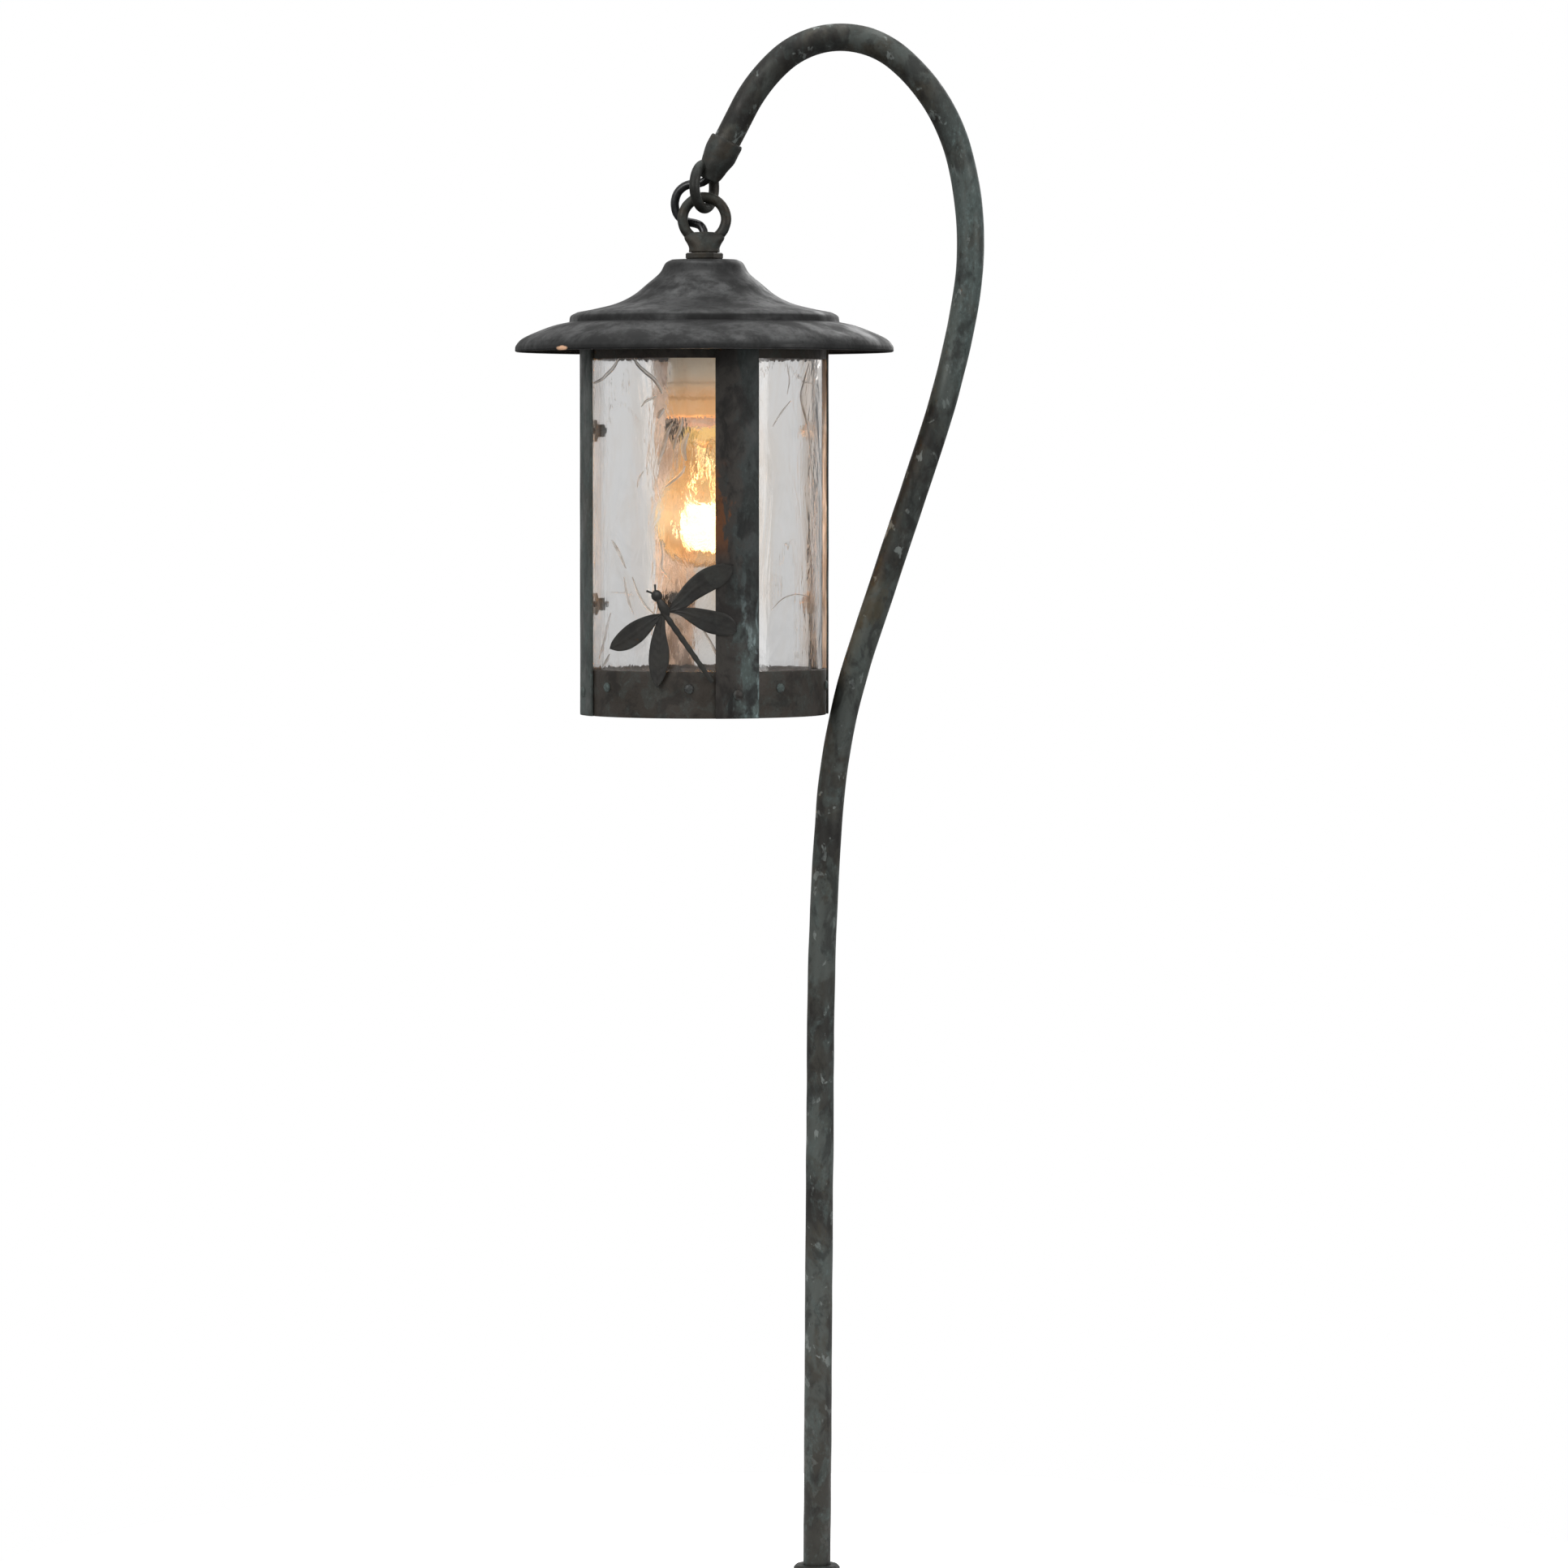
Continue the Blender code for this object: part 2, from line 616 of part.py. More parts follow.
def build_cage():
    flange_low = UPPER_BAND_TOP_Z - BAND_T
    upper = (
        (BAND_IN_R, UPPER_BAND_Z), (BAND_OUT_R, UPPER_BAND_Z), (BAND_OUT_R, UPPER_BAND_TOP_Z),
        (FLANGE_IN_R, UPPER_BAND_TOP_Z), (FLANGE_IN_R, flange_low), (BAND_IN_R, flange_low),
    )
    ring = turned("upper_ring", upper, PATINA, segments=40)
    lower = (
        (BAND_IN_R, BODY_FOOT_Z), (BAND_OUT_R, BODY_FOOT_Z), (BAND_OUT_R, LOWER_BAND_TOP_Z),
        (BAND_IN_R, LOWER_BAND_TOP_Z),
    )
    band = turned("lower_band", lower, PATINA, segments=40)
    holes = bmesh.new()
    hole = ((RIVET_HOLE_R, -8.0), (RIVET_HOLE_R, 6.0))
    for i in range(TAB_COUNT):
        angle = STRAP_ANGLE + (i + 0.5) * 360 / TAB_COUNT
        capped_lathe(holes, hole, outward_frame(angle, BAND_OUT_R, TAB_RIVET_Z), 8)
    for i in range(STRAP_COUNT):
        angle = STRAP_ANGLE + i * 360 / STRAP_COUNT
        capped_lathe(holes, hole, outward_frame(angle, BAND_OUT_R, FOOT_RIVET_Z), 8)
    hole_cutter = cutter("rivet_hole_cutter", holes)
    boolean(band, hole_cutter, "DIFFERENCE")

    screw_holes = bmesh.new()
    for hand in (-1, 1):
        spot = Matrix.Translation((LANTERN_X + hand * BRIDGE_SCREW_R, 0.0, 0.0))
        capped_lathe(screw_holes, ((1.9, BRIDGE_Z - 1.0), (1.9, UPPER_BAND_TOP_Z + 1.0)), spot, 12)
    screw_cutter = cutter("bridge_screw_cutter", screw_holes)
    boolean(ring, screw_cutter, "DIFFERENCE")

    bm = bmesh.new()
    half = BAND_IN_R - 1.0
    side = BRIDGE_W / 2
    cut = 3.0
    outline = (
        (-half, cut - side), (-half, side - cut), (cut - half, side), (half - cut, side),
        (half, side - cut), (half, cut - side), (half - cut, -side), (cut - half, -side),
    )
    low, high = (
        [bm.verts.new((LANTERN_X + x, y, height)) for x, y in outline]
        for height in (BRIDGE_Z, BRIDGE_Z + BRIDGE_T)
    )
    bridge_rings(bm, (low, high), closed=False)
    bm.faces.new(low)
    bm.faces.new(high)
    bridge = finish_mesh("socket_bridge", bm, STEEL)
    boolean(bridge, screw_cutter, "DIFFERENCE")
    centre = bmesh.new()
    through = ((NIPPLE_HOLE_R, BRIDGE_Z - 1.0), (NIPPLE_HOLE_R, BRIDGE_Z + 4.0))
    capped_lathe(centre, through, at_lantern(), 20)
    boolean(bridge, cutter("bridge_centre_cutter", centre), "DIFFERENCE")
    hex_nut("bridge_nut", BRIDGE_Z + BRIDGE_T + GAP, BRIDGE_Z + BRIDGE_T + 4.0, 8.0, STEEL)
    for hand, name in ((-1, "left"), (1, "right")):
        spot = Matrix.Translation((LANTERN_X + hand * BRIDGE_SCREW_R, 0.0, BRIDGE_Z))
        screw = ((2.4, -2.4), (3.0, -1.8), (3.0, -GAP), (1.6, -GAP), (1.6, BRIDGE_T + BAND_T + 1.0))
        turned_solid(f"bridge_screw_{name}", screw, STEEL, spot, segments=12)

    span = math.degrees(STRAP_W / STRAP_OUT_R)
    for i in range(STRAP_COUNT):
        angle = STRAP_ANGLE + i * 360 / STRAP_COUNT
        bm = bmesh.new()
        arc_plate(bm, STRAP_OUT_R - STRAP_T, STRAP_OUT_R, BODY_FOOT_Z, STRAP_TOP_Z, angle, span, 6)
        origin = around(angle, STRAP_OUT_R, BODY_FOOT_Z)
        strap = finish_mesh(f"strap_{i + 1}", bm, PATINA, origin=origin)
        boolean(strap, hole_cutter, "DIFFERENCE")
        inner = BAND_IN_R - STRAP_OUT_R
        rivet = (
            (2.6, inner - 1.4), (2.6, inner - GAP), (RIVET_R, inner - GAP), (RIVET_R, GAP), (3.3, GAP),
            (2.9, 1.1), (1.2, 1.9),
        )
        place = outward_frame(angle, STRAP_OUT_R, FOOT_RIVET_Z)
        turned_solid(f"foot_rivet_{i + 1}", rivet, PATINA, place, segments=10)


def build_tabs():
    """Ledges that the panes stand on, each riveted through the lower band."""
    for i in range(TAB_COUNT):
        angle = STRAP_ANGLE + (i + 0.5) * 360 / TAB_COUNT
        place = outward_frame(angle, BAND_OUT_R, TAB_RIVET_Z)
        inner = -BAND_T - GAP
        rivet = bmesh.new()
        outline = (
            (RIVET_R, inner - 1.0), (RIVET_R, GAP), (2.9, GAP), (2.5, 1.1), (1.0, 1.8),
        )
        capped_lathe(rivet, outline, place, 10)
        tab = finish_mesh(f"ledge_tab_{i + 1}", rivet, PATINA, origin=place.translation)
        ledge = PANE_FOOT_Z - GAP - TAB_RIVET_Z
        near, far = inner - 0.7, inner - 7.5
        section = (
            (-4.0, near), (-4.0, near - TAB_T), (ledge - TAB_T, near - TAB_T), (ledge - TAB_T, far),
            (ledge, far), (ledge, near),
        )
        plate = bmesh.new()
        ends = [
            [plate.verts.new(place @ Vector((side, up, out))) for up, out in section] for side in (-4.5, 4.5)
        ]
        bridge_rings(plate, ends, closed=False)
        plate.faces.new(ends[0])
        plate.faces.new(ends[1])
        boolean(tab, cutter(f"tab_plate_guide_{i + 1}", plate, place.translation), "UNION")


def build_panes():
    edge = math.degrees(PANE_EDGE_GAP / PANE_OUT_R)
    for i in range(STRAP_COUNT):
        angle = STRAP_ANGLE + (i + 0.5) * 360 / STRAP_COUNT
        bm = bmesh.new()
        span = 360 / STRAP_COUNT - 2 * edge
        arc_plate(bm, PANE_OUT_R - PANE_T, PANE_OUT_R, PANE_FOOT_Z, PANE_TOP_Z, angle, span, 11)
        finish_mesh(f"glass_pane_{i + 1}", bm, GLASS, origin=around(angle, PANE_OUT_R, PANE_FOOT_Z))
    washer = PANE_OUT_R - PANE_T - 3 * GAP - STRAP_OUT_R + STRAP_T
    clip = (
        (CLIP_STUD_R, washer - 7.0), (CLIP_STUD_R, washer - 5.6), (4.3, washer - 5.6),
        (4.3, washer - 1.4), (6.6, washer - 1.4), (6.6, washer), (CLIP_STUD_R, washer),
        (CLIP_STUD_R, -GAP),
    )
    for i in range(STRAP_COUNT):
        for row, height in enumerate(CLIP_HEIGHTS):
            angle = STRAP_ANGLE + i * 360 / STRAP_COUNT
            place = outward_frame(angle, STRAP_OUT_R - STRAP_T, height)
            turned_solid(f"pane_clip_{i + 1}_{row + 1}", clip, PATINA, place, segments=12, hexed=(2, 3))


# Dragonfly

def closed_curve(points, per_span=2):
    """A smooth closed line through the points."""
    count = len(points)
    knots = [Vector((*p, 0.0)) for p in points]
    line = []
    for i in range(count):
        a, b, c, d = (knots[(i + k) % count] for k in (-1, 0, 1, 2))
        line += [between(a, b, c, d, step / per_span) for step in range(per_span)]
    return [(p.x, p.y) for p in line]


def oval(centre, long_r, short_r, tilt, count=16):
    turn = math.radians(tilt)
    line = []
    for i in range(count):
        t = math.tau * i / count
        x, y = long_r * math.cos(t), short_r * math.sin(t)
        line.append((centre[0] - x * math.cos(turn) - y * math.sin(turn),
                     centre[1] + x * math.sin(turn) - y * math.cos(turn)))
    return line


def prism(name, outline):
    """The outline as a block that reaches from in front of the lantern to its middle."""
    bm = bmesh.new()
    faces = []
    for depth in (-90.0, -20.0):
        faces.append([
            bm.verts.new((LANTERN_X + DRAGONFLY_X + x, depth, DRAGONFLY_Z + y)) for x, y in outline
        ])
    bridge_rings(bm, faces, closed=False)
    bm.faces.new(faces[0])
    bm.faces.new(faces[1])
    return cutter(name, bm)


def build_dragonfly():
    inner_r = STRAP_OUT_R + GAP
    bm = bmesh.new()
    arc_plate(bm, inner_r, inner_r + DRAGONFLY_T, 550.0, 650.0, -15.0, 80.0, 14)
    plate = finish_mesh("dragonfly", bm, PATINA, origin=around(0.0, inner_r, DRAGONFLY_Z))
    outlines = [closed_curve(wing) for wing in
                (UPPER_RIGHT_WING, LOWER_RIGHT_WING, LOWER_LEFT_WING, BOTTOM_WING)]
    outlines += [list(TAIL), *map(list, ANTENNAE), oval(*THORAX), oval(*HEAD)]
    shapes = [prism(f"dragonfly_guide_{i + 1}", outline) for i, outline in enumerate(outlines)]
    for shape in shapes[1:]:
        boolean(shapes[0], shape, "UNION")
    boolean(plate, shapes[0], "INTERSECT")
    stud = bmesh.new()
    angle = math.degrees(math.asin((DRAGONFLY_X - 4.6) / inner_r))
    foot = BAND_OUT_R + GAP - inner_r
    capped_lathe(stud, ((1.8, foot), (1.8, 0.6)), outward_frame(angle, inner_r, 566.5), 12)
    boolean(plate, cutter("dragonfly_stud_guide", stud), "UNION")


# Lampholder and bulb

def build_socket():
    body = (
        (CUP_R + 0.4, SOCKET_FOOT_Z), (SOCKET_R - 0.8, SOCKET_FOOT_Z), (SOCKET_R + 0.6, SOCKET_FOOT_Z + 1.4),
        (SOCKET_R + 0.6, SOCKET_FOOT_Z + 10.6), (SOCKET_R - 1.2, SOCKET_FOOT_Z + 12.2),
        (SOCKET_R - 1.2, SOCKET_TOP_Z - 14.0), (SOCKET_R - 4.0, SOCKET_TOP_Z - 6.0),
        (13.0, SOCKET_TOP_Z - 1.0), (11.0, SOCKET_TOP_Z), (NIPPLE_HOLE_R, SOCKET_TOP_Z),
        (NIPPLE_HOLE_R, CUP_TOP_Z + 4.0), (CUP_R, CUP_TOP_Z),
    )
    turned("socket_body", body, PORCELAIN, segments=24)
    shell = (
        (CUP_R - 0.8, SOCKET_FOOT_Z + 1.5), (CUP_R - 0.3, SOCKET_FOOT_Z + 1.5),
        (CUP_R - 0.3, CUP_TOP_Z - 2.0), (CUP_R - 0.8, CUP_TOP_Z - 2.0),
    )
    turned("socket_shell", shell, BRASS, segments=20)
    contact = ((3.4, CUP_TOP_Z - 2.6), (4.0, CUP_TOP_Z - 1.8), (4.0, CUP_TOP_Z + 8.0))
    turned_solid("socket_contact", contact, BRASS, segments=16)


def build_bulb():
    origin = (LANTERN_X, 0.0, BULB_SHELL_Z)
    crest, root = BULB_SHELL_R, BULB_SHELL_R - 0.8
    outer = [(crest - 0.4, BULB_SHELL_Z)]
    for turn in range(4):
        start = BULB_SHELL_Z + 3.6 + turn * 3.6
        outer += [(root, start), (crest, start + 1.8)]
    outer += [(root, BULB_SHELL_Z + 18.0), (root - 1.6, BULB_SHELL_Z + 20.0)]
    inner = [(root - 2.4, BULB_SHELL_Z + 20.0), (root - 1.0, BULB_SHELL_Z + 17.6), (root - 1.0, BULB_SHELL_Z)]
    turned("bulb_base", outer + inner, BRASS, segments=16, origin=origin)
    contact = ((9.2, 0.0), (8.6, 1.2), (5.0, 2.6), (4.0, 3.2), (3.6, 3.9))
    place = at_lantern(BULB_SHELL_Z + 20.0 + GAP)
    turned_solid("bulb_contact", contact, BRASS, place, segments=14, origin=origin)

    neck_r, neck_z = 11.4, BULB_SHELL_Z - GAP
    blend_z, flare_z = 702.0, BULB_Z + 13.0
    outline = [(neck_r, neck_z), (neck_r + 1.8, 711.0), (neck_r + 3.4, blend_z), (20.6, 688.0)]
    start = math.asin((flare_z - BULB_Z) / BULB_R)
    for i in range(7):
        angle = start - (start + math.pi / 2) * i / 7
        outline.append((BULB_R * math.cos(angle), BULB_Z + BULB_R * math.sin(angle)))
    outline.append((2.0, BULB_Z - BULB_R + 0.05))
    inside = offset_outline([(r, -z) for r, z in outline], GLOBE_T)
    inside = [(r, -z) for r, z in inside]
    bm = bmesh.new()
    profile = [(max(radius, 0.6), height) for radius, height in outline + list(reversed(inside))]
    rings = profile_rings(bm, profile, at_lantern(), 18, ())
    half = len(outline)
    bridge_rings(bm, rings[:half], closed=False)
    bridge_rings(bm, rings[half:], closed=False)
    bridge_rings(bm, (rings[-1], rings[0]), closed=False)
    bm.faces.new(rings[half - 1])
    bm.faces.new(rings[half])
    finish_mesh("bulb_globe", bm, BULB_GLASS, origin=origin)

    stem = ((1.2, 684.0), (2.4, 687.0), (2.6, 700.0), (5.0, 706.0), (8.4, 709.0), (8.4, 710.4))
    turned_solid("bulb_stem", stem, BULB_GLASS, segments=16, origin=origin)
    points = [(LANTERN_X, 0.0, 683.6)]
    for i in range(8):
        turn = i * math.pi / 4
        height = FILAMENT_TOP_Z if i % 2 else FILAMENT_FOOT_Z
        points.append((LANTERN_X + FILAMENT_R * math.cos(turn), FILAMENT_R * math.sin(turn), height))
    points.append((LANTERN_X + 1.5, -3.0, 678.0))
    wire("bulb_filament", points, 0.55, FILAMENT, sides=1)


build_base()
build_post()
build_crook_eye()
build_jumper()
build_lantern_eye()
build_top()
build_cage()
build_tabs()
build_panes()
build_dragonfly()
build_socket()
build_bulb()
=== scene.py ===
"""Shepherd's crook path light: materials, finely modelled pieces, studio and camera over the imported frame."""

import math

import bmesh
import bpy
from mathutils import Matrix, Vector, noise


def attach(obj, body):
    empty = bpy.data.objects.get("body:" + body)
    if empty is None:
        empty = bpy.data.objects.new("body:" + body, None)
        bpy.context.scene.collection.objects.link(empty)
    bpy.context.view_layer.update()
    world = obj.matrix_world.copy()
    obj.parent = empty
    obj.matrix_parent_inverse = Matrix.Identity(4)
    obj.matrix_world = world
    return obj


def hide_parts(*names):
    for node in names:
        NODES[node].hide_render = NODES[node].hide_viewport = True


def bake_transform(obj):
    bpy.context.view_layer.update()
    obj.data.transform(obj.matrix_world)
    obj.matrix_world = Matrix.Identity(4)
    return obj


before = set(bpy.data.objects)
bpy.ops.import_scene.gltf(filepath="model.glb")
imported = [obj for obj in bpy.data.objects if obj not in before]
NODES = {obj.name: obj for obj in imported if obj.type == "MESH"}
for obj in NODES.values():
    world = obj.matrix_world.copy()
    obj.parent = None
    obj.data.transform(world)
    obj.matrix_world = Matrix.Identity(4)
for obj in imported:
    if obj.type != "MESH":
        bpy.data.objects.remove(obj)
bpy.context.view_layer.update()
MM = 0.001
AXIS_X = -67.6
UP = Vector((0.0, 0.0, 1.0))
SCENE = bpy.context.scene

# ------------------------------------------------------------------ shader helpers


def new_material(name):
    made = bpy.data.materials.new(name)
    made.use_nodes = True
    tree = made.node_tree
    return made, tree, tree.nodes["Principled BSDF"]


def add(tree, kind, **values):
    """A new node; keys of values are socket names (spaces as _) or plain properties."""
    node = tree.nodes.new(kind)
    for key, value in values.items():
        socket = node.inputs.get(key.replace("_", " "))
        if socket is None:
            setattr(node, key, value)
        else:
            socket.default_value = value
    return node


def feed(node, name, value):
    """Link an output to the node's input of that name or number."""
    value.id_data.links.new(value, node.inputs[name])


def feed_or_set(node, name, value):
    if isinstance(value, tuple):
        node.inputs[name].default_value = (*value, 1.0)
    elif isinstance(value, (int, float)):
        node.inputs[name].default_value = value
    else:
        feed(node, name, value)


def place(tree, stretch=(1.0, 1.0, 1.0), shift=(0.0, 0.0, 0.0)):
    """Object coordinates, in metres of the row frame, scaled and shifted."""
    coords = tree.nodes.new("ShaderNodeTexCoord")
    mapping = add(tree, "ShaderNodeMapping", Scale=stretch, Location=shift)
    feed(mapping, "Vector", coords.outputs["Object"])
    return mapping.outputs["Vector"]


def clouds(vector, scale, detail=4.0, roughness=0.55, distortion=0.0):
    node = add(vector.id_data, "ShaderNodeTexNoise", Scale=scale, Detail=detail, Roughness=roughness,
               Distortion=distortion)
    feed(node, "Vector", vector)
    return node.outputs["Fac"]


def between(value, low, high, to_low=0.0, to_high=1.0, smooth=True):
    """value's way from low to high, as a number from to_low to to_high."""
    node = add(value.id_data, "ShaderNodeMapRange", From_Min=low, From_Max=high, To_Min=to_low,
               To_Max=to_high)
    if smooth:
        node.interpolation_type = "SMOOTHSTEP"
    feed(node, "Value", value)
    return node.outputs["Result"]


def maths(operation, a, b=0.0):
    owner = b if isinstance(a, (int, float)) else a
    node = add(owner.id_data, "ShaderNodeMath", operation=operation)
    feed_or_set(node, 0, a)
    feed_or_set(node, 1, b)
    return node.outputs["Value"]


def times(a, b):
    return maths("MULTIPLY", a, b)


def plus(a, b):
    return maths("ADD", a, b)


def minus(a, b):
    return maths("SUBTRACT", a, b)


def size_of(a):
    return maths("ABSOLUTE", a)


def mix(factor, a, b):
    node = add(factor.id_data, "ShaderNodeMix", data_type="RGBA")
    for name, value in ((0, factor), (6, a), (7, b)):
        feed_or_set(node, name, value)
    return node.outputs[2]


def bump(tree, shader, height, strength, distance):
    node = add(tree, "ShaderNodeBump", Strength=strength, Distance=distance)
    feed(node, "Height", height)
    feed(shader, "Normal", node.outputs["Normal"])


def axis_of(vector, name):
    node = vector.id_data.nodes.new("ShaderNodeSeparateXYZ")
    feed(node, "Vector", vector)
    return node.outputs[name]


# ------------------------------------------------------------------ materials

CHARCOAL = (0.034, 0.034, 0.030)
BROWN = (0.040, 0.033, 0.024)
NIGHT = (0.007, 0.0065, 0.006)
VERDIGRIS = (0.082, 0.104, 0.098)
PALE_TEAL = (0.150, 0.205, 0.200)


def patina(name, green=0.5, dark=0.5, base=CHARCOAL, second=BROWN, seed=0.0, paint=None, stretch=1.0,
           metallic=0.45):
    """Old bronze: charcoal and brown clouds, near-black stains, grey-green verdigris and fine pitting.

    green and dark are the shares of verdigris and stains; paint may add masks of its own.
    """
    made, tree, shader = new_material(name)
    here = place(tree, (1.0, 1.0, stretch), (seed, seed * 0.7, seed * 1.3))
    wide = clouds(here, 34.0, 5.0, 0.60, 0.6)
    mid = clouds(here, 95.0, 6.0, 0.62, 0.5)
    fine = clouds(here, 520.0, 5.0, 0.65)
    stain = clouds(place(tree, (1.0, 1.0, stretch), (seed + 3.1, 1.7, 0.4)), 78.0, 6.0, 0.62, 0.4)
    colour = mix(between(wide, 0.42, 0.58), base, second)
    veil = times(between(mid, 0.48, 0.60), green)
    if paint:
        veil, colour = paint(tree, veil, colour, mid, stain)
    colour = mix(veil, colour, VERDIGRIS)
    pale = times(between(fine, 0.50, 0.72), times(veil, 0.75))
    colour = mix(pale, colour, PALE_TEAL)
    soot = times(between(stain, 0.49, 0.63), dark)
    colour = mix(soot, colour, NIGHT)
    speck = between(fine, 0.30, 0.42, 0.62, 1.0)
    shade = mix(speck, NIGHT, colour)
    feed(shader, "Base Color", shade)
    shader.inputs["Metallic"].default_value = metallic
    feed(shader, "Roughness", between(mid, 0.30, 0.70, 0.42, 0.74))
    relief = plus(times(mid, 0.7), times(fine, 0.3))
    bump(tree, shader, relief, 0.35, 0.0006)
    return made


def front_strap_paint(tree, veil, colour, mid, stain):
    """Left half brown with an orange edge of painted lamp light beside the lamp, right half blue-green with
    pale runs low down.
    """
    here = place(tree)
    wobble = times(minus(mid, 0.5), 0.040)
    across = plus(axis_of(here, "X"), wobble)
    right = between(across, -0.0510, -0.0420)
    low = between(axis_of(here, "Z"), 0.652, 0.560)
    broken = between(mid, 0.36, 0.60)
    veil = times(right, plus(times(broken, 0.18), 0.03))
    more = times(times(low, right), between(stain, 0.60, 0.42))
    veil = maths("MAXIMUM", veil, more)
    patch = clouds(place(tree, (1.0, 1.0, 0.55), (4.0, 1.0, 2.3)), 48.0, 5.0, 0.6, 0.8)
    light = mix(right, (0.046, 0.041, 0.036), (0.040, 0.044, 0.043))
    dim = mix(right, (0.022, 0.019, 0.017), (0.017, 0.018, 0.017))
    colour = mix(between(patch, 0.42, 0.56), dim, light)
    # Painted lamp light: an orange edge on the strap's left side at the lamp's height.
    beside = times(between(across, -0.0535, -0.0575),
                   between(size_of(minus(axis_of(here, "Z"), 0.668)), 0.034, 0.012))
    colour = mix(times(beside, 0.8), colour, (0.150, 0.052, 0.014))
    runs = clouds(place(tree, (1.0, 1.0, 0.35), (1.3, 5.0, 0.6)), 150.0, 4.0, 0.55, 0.5)
    runs = times(times(low, right), between(runs, 0.54, 0.64))
    veil = times(veil, minus(1.0, runs))
    colour = mix(runs, colour, (0.235, 0.305, 0.305))
    return veil, colour


def post_paint(tree, veil, colour, mid, stain):
    """Greenest where the crook turns down on the post's side, browner and darker at the foot."""
    here = place(tree)
    upright = between(axis_of(here, "X"), 0.060, 0.105)
    height = axis_of(here, "Z")
    wavy = plus(height, times(minus(mid, 0.5), 0.09))
    up = times(upright, between(wavy, 0.685, 0.715))
    veil = times(veil, between(wavy, 0.52, 0.56, 0.80, 0.45))
    veil = maths("MAXIMUM", veil, times(up, between(mid, 0.34, 0.54, 0.40, 1.15)))
    olive = times(between(wavy, 0.54, 0.56), between(wavy, 0.635, 0.615))
    colour = mix(times(olive, 0.75), colour, (0.062, 0.054, 0.034))
    black = times(between(wavy, 0.615, 0.635), between(wavy, 0.700, 0.680))
    colour = mix(times(black, 0.6), colour, (0.019, 0.019, 0.017))
    zone = clouds(place(tree, (1.0, 1.0, 0.70), (2.2, 0.3, 0.9)), 24.0, 5.0, 0.6, 0.4)
    colour = mix(between(zone, 0.50, 0.41, 0.0, 0.85), colour, (0.019, 0.018, 0.016))
    colour = mix(between(zone, 0.50, 0.58, 0.0, 0.90), colour, (0.078, 0.088, 0.081))
    fleck = clouds(place(tree, (1.0, 1.0, 0.7), (7.0, 2.0, 1.0)), 130.0, 4.0, 0.55, 0.3)
    colour = mix(between(fleck, 0.61, 0.66, 0.0, 0.85), colour, (0.19, 0.21, 0.20))
    foot = between(height, 0.20, 0.06)
    return veil, mix(times(foot, 0.85), colour, (0.027, 0.025, 0.020))


def left_strap_paint(tree, veil, colour, mid, stain):
    """Paler all over."""
    return plus(times(veil, 0.55), 0.34), colour


POST_PATINA = patina("post_patina", dark=0.60, base=(0.042, 0.043, 0.038), second=(0.049, 0.045, 0.035),
                     paint=post_paint, stretch=0.6)
CAST_PATINA = patina("cast_patina", green=0.22, dark=0.55, base=(0.036, 0.037, 0.033), seed=5.0)
STRAP_FRONT = patina("strap_front_patina", dark=0.70, seed=2.0, paint=front_strap_paint, stretch=0.6)
STRAP_LEFT = patina("strap_left_patina", dark=0.35, seed=8.0, base=(0.070, 0.074, 0.068),
                    paint=left_strap_paint, stretch=0.6)
STRAP_OTHER = patina("strap_patina", green=0.55, dark=0.5, seed=11.0, stretch=0.6)
BAND_PATINA = patina("band_patina", green=0.22, dark=0.50, base=(0.040, 0.033, 0.026),
                     second=(0.048, 0.040, 0.033), seed=14.0)
BASE_PATINA = patina("base_patina", green=0.45, dark=0.5, seed=21.0)
DARK_PATINA = patina("dark_patina", green=0.08, dark=0.55, base=(0.018, 0.017, 0.015),
                     second=(0.025, 0.023, 0.019), seed=17.0, metallic=0.25)
# Paler verdigris for the ledge tabs' rivets: partly their patina and partly a painted highlight on their heads.
RIVET_PATINA_AND_HIGHLIGHT = patina("rivet_patina_and_highlight", green=0.9, dark=0.45, base=(0.050, 0.052, 0.050),
                      second=(0.040, 0.038, 0.036), seed=24.0)


